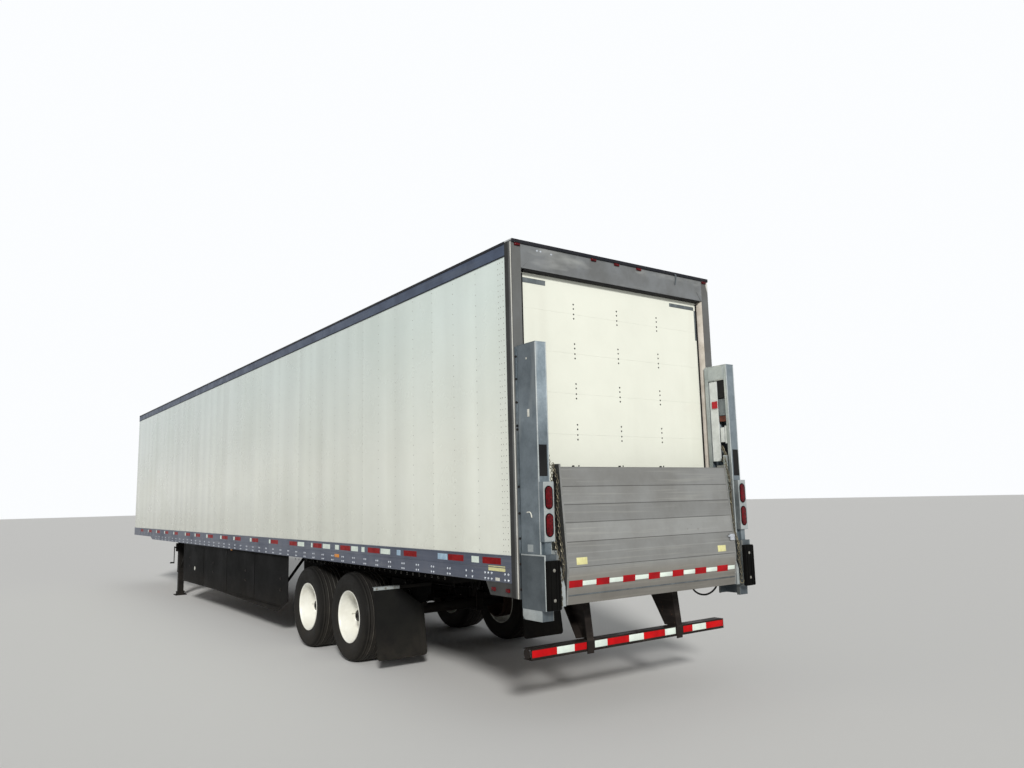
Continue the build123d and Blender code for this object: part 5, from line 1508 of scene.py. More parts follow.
@dataclass
class RearFrameTrim(Assembly):
    """Roof edge, seals, corner beads and bolts of the rear frame and the roll-up door."""

    door_x: float = 0.06
    bolt_columns: tuple[float, ...] = (0.55, 0.0, -0.55)
    joints: tuple[float, ...] = (3.55, 3.173, 2.798, 2.42, 2.045, 1.67)
    bolt_steps: tuple[float, ...] = (-0.068, -0.026, 0.026, 0.068)

    def roof_edge(self) -> None:
        """Dark edge along the top of the header."""
        self.slab(
            "header_roof_edge", at(-0.012, -HALF + 0.001, 4.081), at(0.0, HALF - 0.001, 4.1145), DARK_EDGE,
            "top_rail", edges=(0.004, 3, past("-X", rear(-0.011), "Y")), both=False)

    def seals(self) -> None:
        """Brush seal under the header and wipers beside the door."""
        self.slab(
            "header_seal", at(0.006, -1.156, 3.842), at(0.058, 1.156, 3.8595), SEAL_DARK, "bumper_rubber",
            edges=(0.006, 2, past("-Z", 3.845, "Y")), both=False)
        self.slab(
            "door_side_seal", at(0.044, 1.1455, 1.275), at(0.0595, 1.1565, 3.832), SEAL_DARK, "bumper_rubber",
            edges=(0.005, 2, past("-X", rear(0.045), "Z")))
        # The jamb liner's pale colour is painted sunlight on the jamb's inner face
        jamb = Bench.plate("jamb_liner", [
            at(0.003, 1.1932, 1.275), at(0.0585, 1.157, 1.275), at(0.0585, 1.195, 1.275),
            at(0.003, 1.195, 1.275)], (0, 0, 2.584), 0.0006)
        self.pair(jamb, JAMB_PALE, "rear_frame")

    def corner_beads(self) -> None:
        """Bright beads down the outer sides of the posts: a painted highlight on their rounded corners,
        rubbed in places.
        """
        self.slab(
            "post_corner_bead", at(0.01, HALF, 1.006), at(0.024, HALF + 0.0025, 4.088), BRIGHT_EDGE,
            "rear_frame", edges=(0.0012, 2, past("+Y", HALF + 0.002, "Z")))

    def plates(self) -> None:
        """Grey plates on the door, a scuff, the welds of the header's gussets and the lip under it."""
        for name, y0, y1, z0, z1 in (
                ("door_plate_left", 0.88, 1.16, 3.752, 3.798),
                ("door_plate_right", -1.118, -0.752, 3.762, 3.799),
                ("door_guard_right", -1.144, -1.124, 3.44, 3.762)):
            self.slab(
                name, at(0.056, y0, z0), at(0.0598, y1, z1), GREY_STEEL, "column_steel", 0.0015, both=False)
        scuff = Bench.plate("post_top_scuff", [
            at(0.0, -1.2935, 4.0785), at(0.0, -1.27, 4.0785), at(0.0, -1.2725, 4.03),
            at(0.0, -1.288, 3.97)], (-0.0006, 0, 0))
        self.finish(scuff, BRIGHT_EDGE, "rear_frame")
        weld = Bench.pipe("gusset_weld", [
            (-0.0005, 1.195, 3.862), (-0.001, 1.165, 3.885), (-0.001, 1.135, 3.925),
            (-0.0005, 1.12, 3.95)], 0.0035)
        self.pair(weld, FRAME_GREY, "rear_frame")
        self.slab(
            "header_lower_lip", at(-0.004, -1.195, 3.8602), at(0.0, 1.195, 3.87), FRAME_GREY, "rear_frame",
            0.0015, both=False)

    def bolts(self) -> None:
        """Bolt heads of the door's hinges, and bright rivets and a hook on the header."""
        places = [
            facing_rear(self.door_x, y, z + step) for y in self.bolt_columns for z in self.joints
            for step in self.bolt_steps]
        heads = Bench.copies("door_hinge_bolts", Bench.dome(0.0085, 0.004, 10), places)
        self.finish(heads, DARK_BOLT, "rear_frame")
        spots = [(1.008, 4.045), (0.968, 4.044), (0.845, 4.036)]
        bright = Bench.copies(
            "header_rivets", Bench.dome(0.011, 0.005, 10), [facing_rear(0.0, y, z) for y, z in spots])
        self.finish(bright, BRIGHT_RIVET, "rear_frame")
        hook = Bench.pipe("header_hook", [
            (0.0, -0.78, 4.086), (-0.022, -0.782, 4.094), (-0.028, -0.786, 4.06), (-0.012, -0.79, 4.02),
            (-0.003, -0.79, 3.985)], 0.006)
        self.finish(hook, GREY_STEEL, "rear_frame")
        self.slab(
            "door_lock_plate", at(0.05, -0.09, 1.3), at(0.0595, 0.09, 1.43), ZINC, "column_steel", 0.003,
            inset=("-X", 0.02, 0.003), both=False)

    def build(self) -> None:
        """Makes all the trim of the rear frame."""
        self.roof_edge()
        self.seals()
        self.corner_beads()
        self.plates()
        self.bolts()


@dataclass
class Lamps(Assembly):
    """Oval tail lamps with their frames, and the small marker lamps."""

    tail_y: float = 1.2265
    tail_rear: float = -0.338
    tail_z: Span = (1.613, 1.835)
    width: float = 0.065
    height: float = 0.176
    header_z: float = 4.068
    header_y: tuple[float, ...] = (1.236, 0.33, 0.03, -0.27, -1.236)

    def oval(self, name: str, grow: float, x: float, depth: float) -> Object:
        """An upright oval disc at the origin, standing out to the rear.

        Args:
            name: the piece's name.
            grow: how far it is wider than the lens all round.
            x: where its rear face starts.
            depth: its thickness.

        Returns:
            The new object.
        """
        half = self.width / 2 + grow
        straight = (self.height - self.width) / 2
        points = []
        for k in range(24):
            angle = math.pi * (k % 12) / 11.0 + (math.pi if k >= 12 else 0.0)
            lift = straight if k < 12 else -straight
            points.append((x, math.cos(angle) * half, math.sin(angle) * half + lift))
        return Bench.plate(name, points, (-depth, 0, 0))

    def tail_lamps(self) -> None:
        """Lenses in rubber rims, set in a pale frame."""
        lens = self.oval("lens", 0.0, 0.0, 0.008)
        Bench.recess(lens, "-X", 0.006, -0.0012)
        Bench.bevel(lens, 0.002, 2, lambda middle, way: -0.009 < middle.x < -0.007)
        places = [
            Matrix.Translation(at(self.tail_rear, side * self.tail_y, z)) for side in SIDES
            for z in self.tail_z]
        self.spread("tail_lamp_lenses", lens, places, RED_LENS, "lamp_red", "lamps")
        rim = self.oval("rim", 0.008, 0.0, 0.0045)
        Bench.recess(rim, "-X", 0.005, 0.002)
        self.spread("tail_lamp_rims", rim, places, BLACK_RUBBER, "bumper_rubber")
        self.slab(
            "lamp_box_frame", at(-0.3395, 1.1725, 1.482), at(-0.3378, 1.2805, 1.962), PALE_ZINC, "galvanised",
            0.0006, inset=("-X", 0.006, 0.0006))

    def lens_block(self, size: Point) -> Object:
        """A small domed lens at the origin that stands out along +Y.

        Args:
            size: its length, depth and height.

        Returns:
            The new object.
        """
        length, depth, height = size
        lens = Bench.block("lens", (-length / 2, 0, -height / 2), (length / 2, depth, height / 2))
        Bench.bevel(lens, min(depth, height) * 0.4, 3, past("+Y", depth * 0.9))
        return lens

    def markers(self) -> None:
        """Header, corner box, mid and side marker lamps."""
        header = self.lens_block((0.062, 0.014, 0.024))
        places = [facing_rear(0.0, y, self.header_z) for y in self.header_y]
        self.spread("header_markers", header, places, RED_LENS, "lamp_red")
        corner = self.lens_block((0.052, 0.012, 0.032))
        places = [facing(side, x, HALF, 1.062) for side in SIDES for x in (0.164, 0.377)]
        self.spread("corner_markers", corner, places, RED_LENS, "lamp_red")
        amber = self.lens_block((0.12, 0.007, 0.038))
        places = [facing(side, 3.74, HALF, 1.2) for side in SIDES]
        self.spread("side_markers", amber, places, AMBER_LENS, "lamp_red")
        mid = self.lens_block((0.058, 0.012, 0.022))
        places = [facing(side, 8.077, HALF - 0.0225, 1.112) for side in SIDES]
        self.spread("mid_markers", mid, places, AMBER_LENS, "lamp_red")
        self.slab(
            "mid_marker_pod", at(8.046, 1.262, 1.1005), at(8.108, 1.273, 1.1238), BLACK_BOX, "box_black",
            0.002)
        nose = self.lens_block((0.07, 0.016, 0.03))
        turned = [
            Matrix.Translation(at(NOSE, y, 4.04)) @ Matrix.Rotation(-math.pi / 2, 4, "Z")
            for y in (1.1, -1.1)]
        self.spread("nose_markers", nose, turned, AMBER_LENS, "lamp_red")

    def build(self) -> None:
        """Makes all lamps."""
        self.tail_lamps()
        self.markers()


@dataclass
class ColumnTrim(Assembly):
    """Edge beads, bolts, blank plates and covers of the lift columns."""

    outer: float = 1.281
    inner: float = 1.165
    rear_x: float = -0.283
    front_x: float = -0.025
    top: float = 3.135

    def beads(self) -> None:
        """The bright bends of the columns and their cover: pale rods that paint the highlight along each
        bend.
        """
        for name, x, y, z0, z1, finish in (
                ("column_bend", self.rear_x, self.outer, 1.379, 3.133, PALE_ZINC),
                ("column_inner_bend", self.rear_x, self.inner + 0.0084, 1.379, 3.133, PALE_ZINC),
                ("cover_bend", -0.345, 1.289, 0.939, 1.376, PALE_ZINC)):
            # pale rods stand for the painted highlight along each bend
            bead = Bench.rod(name, at(x + 0.0042, y - 0.0042, z0), at(x + 0.0042, y - 0.0042, z1), 0.0062, 12)
            self.pair(bead, finish, "column_steel")

    def top_cap(self) -> None:
        """Cap plate on each column, a little rounded."""
        self.slab(
            "column_cap", at(self.rear_x - 0.002, self.inner - 0.002, self.top),
            at(self.front_x + 0.002, self.outer + 0.002, self.top + 0.006), ZINC, "column_steel", 0.002)

    def bolts(self) -> None:
        """Bolts that hold the mounting plates to the rear frame, and those of the covers."""
        heights = (3.048, 2.851, 2.649, 2.447, 2.416, 1.93, 1.708, 1.5, 1.291, 1.085)
        places = [facing_rear(-0.008, side * 1.2845, z) for side in SIDES for z in heights]
        self.spread("column_bolts", Bench.bolt(0.0085, 0.007), places, DARK_BOLT, "column_steel")
        places = [facing_rear(-0.3785, side * 1.223, z) for side in SIDES for z in (1.255, 1.02)]
        self.spread("bumper_bolts", Bench.bolt(0.01, 0.004), places, NUT_STEEL, "chain_steel")

    def marks(self) -> None:
        """Blank strip plates, labels, the slot's pale tab and a scrape."""
        self.slab(
            "column_strip_plate", at(self.rear_x - 0.0015, 1.188, 2.01), at(self.rear_x, 1.271, 2.27),
            BLACK_BOX, "box_black", 0.0006, inset=("-X", 0.007, 0.0006))
        self.slab(
            "column_slot_tab", at(-0.18, self.outer, 2.51), at(-0.152, self.outer + 0.002, 2.575), LABEL_PALE,
            "column_steel", 0.0008)
        self.slab(
            "column_label", at(-0.185, self.outer, 1.395), at(-0.11, self.outer + 0.001, 1.455), PALE_ZINC,
            "column_steel", 0.0004, inset=("+Y", 0.004, 0.0003))
        scrape = Bench.pipe("column_scrape", [
            (-0.112, self.outer, 1.716), (-0.145, self.outer, 1.722), (-0.168, self.outer, 1.708),
            (-0.177, self.outer, 1.674)], 0.0055, 2)
        self.finish(scrape, LABEL_PALE, "column_steel")
        hole = Bench.lathe(
            "column_hole_rim", [(0.004, 0.0), (0.009, 0.0), (0.009, 0.0012), (0.004, 0.0012)], "Y",
            at(-0.155, self.outer, 3.01), 16, True)
        self.pair(hole, LABEL_PALE, "column_steel")

    def covers(self) -> None:
        """Bevelled bumpers and the folded lip of the covers."""
        parts = [Bench.block("core", at(-0.3785, 1.158, 0.943), at(-0.3455, 1.288, 1.331), 0.003)]
        for y in (1.169, 1.196, 1.25, 1.277):
            parts.append(
                Bench.block("rib", at(-0.385, y - 0.0085, 0.949), at(-0.378, y + 0.0085, 1.325), 0.0025))
        bumper = Bench.join("dock_bumper", parts)
        self.pair(bumper, BLACK_RUBBER, "bumper_rubber", "dock_bumpers")
        self.slab(
            "cover_lip", at(-0.343, 1.2892, 1.366), at(-0.027, 1.2925, 1.378), PALE_ZINC, "column_steel",
            0.0012)
        shoe = Bench.plate("column_shoe", [
            at(-0.283, 1.2812, 0.85), at(-0.283, 1.2812, 0.936), at(-0.025, 1.2812, 0.936),
            at(-0.025, 1.2812, 0.876), at(-0.055, 1.2812, 0.85)], (0, 0.004, 0), 0.001)
        self.pair(shoe, PALE_ZINC, "column_steel")

    def inner_fittings(self) -> None:
        """What shows in the open side of each column above the platform."""
        self.slab(
            "head_bracket", at(-0.245, 1.1605, 2.992), at(-0.045, 1.1648, 3.128), PALE_ZINC, "column_steel",
            0.002, inset=("-Y", 0.014, 0.002))
        rows = [
            ("column_channel", -0.146, -0.046, 2.16, 2.98, CYLINDER_PALE),
            ("column_head_box", -0.276, -0.154, 2.8, 2.98, BLACK_BOX),
            ("column_back_plate", -0.276, -0.154, 2.622, 2.79, GREY_STEEL),
            ("column_bracket", -0.262, -0.158, 2.56, 2.616, RUST_BROWN),
            ("column_valve", -0.268, -0.214, 2.335, 2.515, CYLINDER_PALE),
            ("column_block", -0.206, -0.16, 2.35, 2.5, CYLINDER_PALE)]
        for name, x0, x1, z0, z1, finish in rows:
            self.slab(
                name, at(x0, 1.1725, z0), at(x1, 1.1855, z1), finish, "column_steel", 0.002,
                inset=("-Y", 0.007, 0.001))
        heap = []
        for k in range(30):
            place = at(
                -0.162 - 0.066 * (k * 0.618 % 1.0), 1.177 + 0.003 * (k % 3), 2.17 + 0.135 * (k * 0.382 % 1.0))
            turn = Matrix.Rotation(k * 2.4, 4, "Y") @ Matrix.Rotation(0.15 * (k % 3), 4, "X")
            heap.append(Matrix.Translation(place) @ turn)
        self.pair(Bench.copies("column_chain_heap", Chains().link(), heap), CHAIN_STEEL, "chain_steel")
        clamp = Bench.lathe(
            "cylinder_collar", [(0.0362, -0.02), (0.043, -0.02), (0.046, 0.0), (0.043, 0.02), (0.0362, 0.02)],
            "Z", at(-0.1, 1.223, 2.52), 28, True)
        second = Bench.lathe(
            "cylinder_foot", [(0.0362, -0.012), (0.041, -0.012), (0.041, 0.012), (0.0362, 0.012)], "Z",
            at(-0.1, 1.223, 2.262), 28, True)
        self.pair(Bench.join("cylinder_collars", [clamp, second]), ZINC, "column_steel")
        self.slab(
            "column_tag", at(-0.148, 1.1625, 2.7), at(-0.078, 1.1647, 2.772), RED_TAG, "lamp_red", 0.0006,
            inset=("-Y", 0.006, 0.0005))
        spool = Bench.lathe("chain_wheel", [
            (0.012, -0.016), (0.052, -0.016), (0.052, -0.01), (0.04, -0.004), (0.04, 0.004), (0.052, 0.01),
            (0.052, 0.016), (0.012, 0.016)], "Y", at(-0.21, 1.222, 2.865), 32, True)
        self.pair(spool, DARK_BOLT, "column_steel")

    def build(self) -> None:
        """Makes all the trim of the columns."""
        self.beads()
        self.top_cap()
        self.bolts()
        self.marks()
        self.covers()
        self.inner_fittings()


@dataclass
class Platform(Assembly):
    """Tape, labels, latches and tips of the stowed platform."""

    body: str = "platform"
    knee: Span = (-0.35, 1.25)
    heel: Span = (-0.322, 0.965)
    bend: Span = (-0.342, 1.372)
    tip: Span = (-0.28, 2.083)
    tape_z: Span = (1.1, 1.157)
    tape_edges: tuple[float, ...] = (
        1.042, 0.896, 0.746, 0.597, 0.44, 0.294, 0.131, -0.012, -0.173, -0.32, -0.474, -0.63, -0.783, -0.939,
        -1.04)

    def skin(self, z: float) -> float:
        """Distance from the rear face of the platform's outer skin at a height.

        Args:
            z: the height.

        Returns:
            The distance.
        """
        rows = (self.heel, self.knee, self.bend, self.tip)
        for (x0, z0), (x1, z1) in zip(rows[:-1], rows[1:]):
            if z <= z1:
                return x0 + (x1 - x0) * (z - z0) / (z1 - z0)
        return self.tip[0]

    def patch(self, name: str, y0: float, y1: float, z0: float, z1: float, thick: float = 0.0012) -> Object:
        """A thin patch that lies on the platform's skin."""
        points = [at(self.skin(z), y, z) for y, z in ((y0, z0), (y1, z0), (y1, z1), (y0, z1))]
        return Bench.plate(name, points, (-thick, 0, 0), 0.0004)

    def tape(self) -> None:
        """The row of red and white tape."""
        low, high = self.tape_z
        for name, first, finish, slot in (
                ("platform_tape_red", 0, PLATFORM_RED_TAPE, "lamp_red"),
                ("platform_tape_white", 1, WHITE_TAPE, "white_panel")):
            spans = list(zip(self.tape_edges[:-1], self.tape_edges[1:]))[first::2]
            drop = 0.0 if first == 0 else 0.01
            patches = [self.patch("patch", y1, y0, low + drop, high - drop) for y0, y1 in spans]
            self.group(name, patches, finish, slot)

    def labels(self) -> None:
        """Two blank yellow labels."""
        labels = [
            self.patch("label", 0.843, 0.96, 1.28, 1.338), self.patch("label", -0.917, -0.803, 1.286, 1.344)]
        self.group("platform_labels", labels, LABEL_YELLOW, "platform_metal")

    def edges(self) -> None:
        """Rounded top edge, its three tips, and the wear strip along the heel."""
        x = (self.tip[0] - 0.22) / 2
        self.slab(
            "platform_top_edge", at(-0.28, -1.044, 2.0832), at(-0.221, 1.044, 2.088), SIDE_BAR_METAL,
            "platform_metal", 0.0018, both=False)
        tips = []
        for y in (0.88, 0.339, -0.182):
            tip = Bench.block("tip", at(x - 0.01, y - 0.008, 2.0882), at(x + 0.01, y + 0.008, 2.101), 0.003)
            tips.append(tip)
        self.group("platform_tips", tips, DARK_BOLT, "column_steel")
        strip = Bench.plate("platform_heel_strip", [at(self.skin(z) - 0.0002, y, z) for y, z in (
            (-1.043, 1.0325), (1.043, 1.0325), (1.043, 1.043), (-1.043, 1.043))], (-0.0025, 0, 0), 0.0008)
        self.finish(strip, GREY_STEEL, "platform_metal")

    def latch(self) -> None:
        """The small latch at the right edge and bolt heads down both edges."""
        keeper = Bench.block("platform_latch", at(-0.362, -1.042, 1.385), at(-0.3435, -0.985, 1.445), 0.003)
        Bench.recess(keeper, "-X", 0.008, 0.003)
        bar = Bench.rod("latch_bar", at(-0.352, -1.052, 1.425), at(-0.352, -0.96, 1.425), 0.007, 12, 0.002)
        self.group("platform_latch", [keeper, bar], BRIGHT_RIVET, "platform_metal")
        places = []
        for y in (1.054, -1.054):
            for z in (1.0, 1.075, 1.18, 1.31, 1.42, 1.545, 1.695, 1.85, 2.0):
                places.append(facing_rear(self.skin(z), y, z))
        self.spread("platform_side_bolts", Bench.dome(0.006, 0.003, 8), places, NUT_STEEL, "platform_metal")

    def build(self) -> None:
        """Makes all the trim of the platform."""
        self.tape()
        self.labels()
        self.edges()
        self.latch()


@dataclass
class Chains(Assembly):
    """The lift's chains beside the platform, link by link."""

    body: str = "lift"
    pitch: float = 0.0255
    length: float = 0.036
    width: float = 0.0235
    wire: float = 0.0034
    inner_y: float = 1.101
    inner: tuple[Span, ...] = (
        (-0.246, 2.12), (-0.3, 1.98), (-0.296, 1.7), (-0.318, 1.48), (-0.352, 1.33), (-0.338, 1.14))
    outer_y: float = 1.129
    outer: tuple[Span, ...] = ((-0.222, 2.199), (-0.264, 2.04), (-0.282, 1.5), (-0.33, 1.35), (-0.345, 0.99))

    def link(self) -> Object:
        """One link at the origin, long along Z."""
        Bench.hold()
        bpy.ops.mesh.primitive_torus_add(
            major_radius=self.width / 2 - self.wire, minor_radius=self.wire, major_segments=10,
            minor_segments=5, rotation=(math.pi / 2, 0, 0))
        obj = Bench.name("link")
        stretch = (self.length - self.width) / 2
        for vertex in obj.data.vertices:
            vertex.co.z += stretch if vertex.co.z > -self.wire / 100 else -stretch
        return obj

    def places(self) -> list[Matrix]:
        """Where the links lie along their runs, each turned a quarter from the last."""
        found = []
        for y, route in ((self.outer_y, self.outer), (self.inner_y, self.inner)):
            points = [at(x, 0.0, z) for x, z in route]
            total = sum((b - a).length for a, b in zip(points[:-1], points[1:]))
            for number in range(int((total - self.length / 2) / self.pitch)):
                spot, way = self.along(points, (number + 0.5) * self.pitch)
                turn = way.to_track_quat("Z", "Y").to_matrix().to_4x4()
                quarter = Matrix.Rotation(math.radians(45 + 90 * (number % 2)), 4, "Z")
                sway = 0.004 * math.sin(number * 0.9)
                for side in SIDES:
                    found.append(Matrix.Translation((spot.x, side * (y + sway), spot.z)) @ turn @ quarter)
        return found

    @staticmethod
    def along(points: Sequence[Vector], distance: float) -> tuple[Vector, Vector]:
        """The point and the way at a distance along a run.

        Args:
            points: the run's points.
            distance: how far along it.

        Returns:
            The point and the way there.
        """
        for start, end in zip(points[:-1], points[1:]):
            reach = (end - start).length
            if distance <= reach:
                return start.lerp(end, distance / reach), (end - start).normalized()
            distance -= reach
        return points[-1], (points[-1] - points[-2]).normalized()

    def build(self) -> None:
        """Makes all links and the shackles at their ends."""
        links = Bench.copies("lift_chain_links", self.link(), self.places())
        self.finish(links, CHAIN_STEEL, "chain_steel", "platform_chains")
        shackle = Bench.pipe("chain_shackle", [
            (-0.33, 1.118, 1.0), (-0.33, 1.118, 0.976), (-0.345, 1.128, 0.968), (-0.36, 1.138, 0.976),
            (-0.36, 1.138, 1.0)], 0.005)
        self.pair(shackle, CHAIN_STEEL, "chain_steel")


@dataclass
class GuardTrim(Assembly):
    """Tape, end caps and beads of the rear guard."""

    rear_x: float = -0.02
    low: float = 0.504
    high: float = 0.596
    tape_z: Span = (0.526, 0.584)
    reds: tuple[Span, ...] = (
        (1.198, 0.934), (0.741, 0.604), (0.361, 0.095), (-0.09, -0.37), (-0.622, -0.75), (-0.945, -1.198))
    whites: tuple[Span, ...] = (
        (0.934, 0.741), (0.508, 0.361), (0.095, -0.09), (-0.37, -0.514), (-0.75, -0.945))

    def build(self) -> None:
        """Makes the tape, the caps and the beads."""
        low, high = self.tape_z
        for name, spans, finish, slot in (
                ("guard_tape_red", self.reds, RED_TAPE, "lamp_red"),
                ("guard_tape_white", self.whites, WHITE_TAPE, "white_panel")):
            patches = [
                Bench.block("patch", (rear(self.rear_x) - 0.0012, y1, low), at(self.rear_x, y0, high), 0.0004)
                for y0, y1 in spans]
            self.group(name, patches, finish, slot)
        middle = (self.low + self.high) / 2
        cap = Bench.rod("guard_end_cap", at(0.046, 1.198, middle), at(0.046, 1.206, middle), 0.043, 28, 0.003)
        self.pair(cap, GUARD_BLACK, "box_black")
        bead = Bench.rod(
            "guard_lower_bead", at(self.rear_x + 0.004, -1.203, self.low + 0.004),
            at(self.rear_x + 0.004, 1.203, self.low + 0.004), 0.0052, 10)
        top = Bench.rod(
            "guard_upper_bead", at(self.rear_x + 0.004, -1.203, self.high - 0.004),
            at(self.rear_x + 0.004, 1.203, self.high - 0.004), 0.0052, 10)
        self.group("guard_beads", [bead, top], GUARD_BLACK, "box_black")


@dataclass
class RoadWheel(Assembly):
    """One wide single tyre with its deep white wheel, hub and drum."""

    place: str = "rear_left"
    axle_x: float = 3.455
    axle_z: float = 0.509
    tyre_y: float = 1.077
    disc_y: float = 1.029
    side: float = 1.0

    @property
    def centre(self) -> Vector:
        """A point on the axle's line, in the middle of the trailer."""
        return at(self.axle_x, 0.0, self.axle_z)

    def turned(self, name: str, profile: Sequence[Span], offset: float, steps: int, closed: bool) -> Object:
        """A turned piece whose profile's distances count outwards from an offset along the axle."""
        points = [(radius, self.side * (offset + out)) for radius, out in profile]
        return Bench.lathe(name, points, "Y", self.centre, steps, closed)

    @staticmethod
    def crown(out: float) -> float:
        """Radius of the tread at a distance from its middle."""
        return 0.5088 - 3.1 * max(abs(out) - 0.107, 0.0) ** 2

    def tyre(self) -> None:
        """The tyre: walls with moulded rings, round shoulders and grooves round its tread."""
        wall = [
            (0.287, 0.164), (0.296, 0.1775), (0.303, 0.1885), (0.312, 0.1912), (0.33, 0.1975),
            (0.345, 0.2025), (0.362, 0.2062), (0.366, 0.2082), (0.372, 0.2086), (0.376, 0.2096),
            (0.402, 0.212), (0.415, 0.2123), (0.435, 0.2105), (0.448, 0.2078), (0.452, 0.2082),
            (0.462, 0.2042), (0.466, 0.2028), (0.476, 0.1972), (0.4845, 0.1905), (0.489, 0.1835)]
        tread = []
        for groove in (0.15, 0.1, 0.05, 0.0, -0.05, -0.1, -0.15):
            crown = self.crown(groove)
            tread += [
                (crown, groove + 0.006), (crown - 0.013, groove + 0.004), (crown - 0.013, groove - 0.004),
                (crown, groove - 0.006)]
            if groove > -0.14:
                tread.append((self.crown(groove - 0.025), groove - 0.025))
        tread = [(self.crown(0.172), 0.172)] + tread + [(self.crown(0.172), -0.172)]
        profile = wall + tread + [(radius, -out) for radius, out in reversed(wall)]
        obj = self.turned(f"tread_{self.place}", profile, self.tyre_y, 96, True)
        rubber = TyreRubber(
            f"tyre_rubber_{self.place.split('_')[0]}", (29, 28, 27), (35, 34, 32), rough=(0.6, 0.8),
            patch=7.0, specular=0.12, grain=180.0, grain_depth=0.0006, dust=0.06, dust_low=-0.1,
            dust_high=0.8, axle_x=rear(self.axle_x))
        self.finish(obj, rubber, "tyre", f"tyre_{self.place}")

    def rim(self) -> None:
        """The white rim, its drop and its disc with hand holes."""
        barrel = [
            (0.2975, 0.191), (0.2975, 0.184), (0.2885, 0.1775), (0.2855, 0.164), (0.2855, -0.164),
            (0.2885, -0.1775), (0.2975, -0.184), (0.2975, -0.191), (0.293, -0.1918), (0.2855, -0.188),
            (0.2775, -0.174), (0.277, -0.061), (0.27, -0.0585), (0.256, -0.057), (0.235, -0.0555),
            (0.108, -0.0555), (0.108, -0.0435), (0.235, -0.043), (0.252, -0.0405), (0.266, -0.031),
            (0.2745, -0.015), (0.2765, 0.007), (0.277, 0.169), (0.283, 0.182), (0.2895, 0.191),
            (0.2945, 0.1918)]
        obj = self.turned(f"rim_{self.place}", barrel, self.tyre_y, 72, True)
        for k in range(5):
            angle = 2 * math.pi * k / 5
            x = rear(self.axle_x) + 0.205 * math.sin(angle)
            z = self.axle_z + 0.205 * math.cos(angle)
            y = self.side * self.disc_y
            Bench.drill(obj, Bench.rod("drill", (x, y - 0.03, z), (x, y + 0.03, z), 0.031, 24))
        Bench.smooth(obj, 30)
        spots = ((0.262, 0.012), (0.262, 0.034), (0.256, 0.06), (0.248, 0.084))
        route = [(self.axle_x + out, self.side * (self.disc_y + up), self.axle_z) for out, up in spots]
        stem = Bench.pipe(f"valve_{self.place}", route, 0.0045)
        self.group(obj.name, [obj, stem], WHEEL_WHITE, "wheel_white", f"wheel_{self.place}")

    def hub(self) -> None:
        """Dark hub with its cap, wheel nuts and the drum behind the disc."""
        profile = [
            (0.0, 0.135), (0.03, 0.1345), (0.052, 0.131), (0.062, 0.124), (0.066, 0.11), (0.066, 0.072),
            (0.084, 0.068), (0.084, 0.058), (0.094, 0.04), (0.106, 0.014), (0.1075, 0.0), (0.1075, -0.06),
            (0.0, -0.06)]
        hub = self.turned(f"hub_{self.place}", profile, self.disc_y, 40, False)
        self.finish(hub, HUB_GREY, "chassis_steel")
        cap = self.turned(f"hub_window_{self.place}", [
            (0.0, 0.1368), (0.018, 0.1366), (0.024, 0.135), (0.024, 0.1335),
            (0.0, 0.1335)], self.disc_y, 24, False)
        self.finish(cap, BLACK_RUBBER, "bumper_rubber")
        places = []
        for k in range(10):
            angle = 2 * math.pi * (k + 0.5) / 10
            x, z = rear(self.axle_x) + 0.1425 * math.sin(angle), self.axle_z + 0.1425 * math.cos(angle)
            turn = Matrix.Identity(4) if self.side > 0 else Matrix.Rotation(math.pi, 4, "Z")
            places.append(Matrix.Translation((x, self.side * (self.disc_y + 0.0045), z)) @ turn)
        nuts = Bench.copies(f"nuts_{self.place}", Bench.bolt(0.0165, 0.026), places)
        self.finish(nuts, NUT_STEEL, "wheel_white")
        drum = [
            (0.108, -0.0075), (0.15, -0.01), (0.196, -0.022), (0.209, -0.036), (0.2115, -0.06),
            (0.2115, -0.15), (0.2075, -0.152), (0.2075, -0.164), (0.2115, -0.166), (0.2115, -0.212),
            (0.199, -0.2145), (0.199, -0.03), (0.108, -0.022)]
        self.finish(
            self.turned(f"drum_{self.place}", drum, self.disc_y, 48, True), DRUM_IRON, "chassis_steel")

    def build(self) -> None:
        """Makes the tyre, the wheel and its hub."""
        self.body = f"wheel_body_{self.place}"
        self.tyre()
        self.rim()
        self.hub()


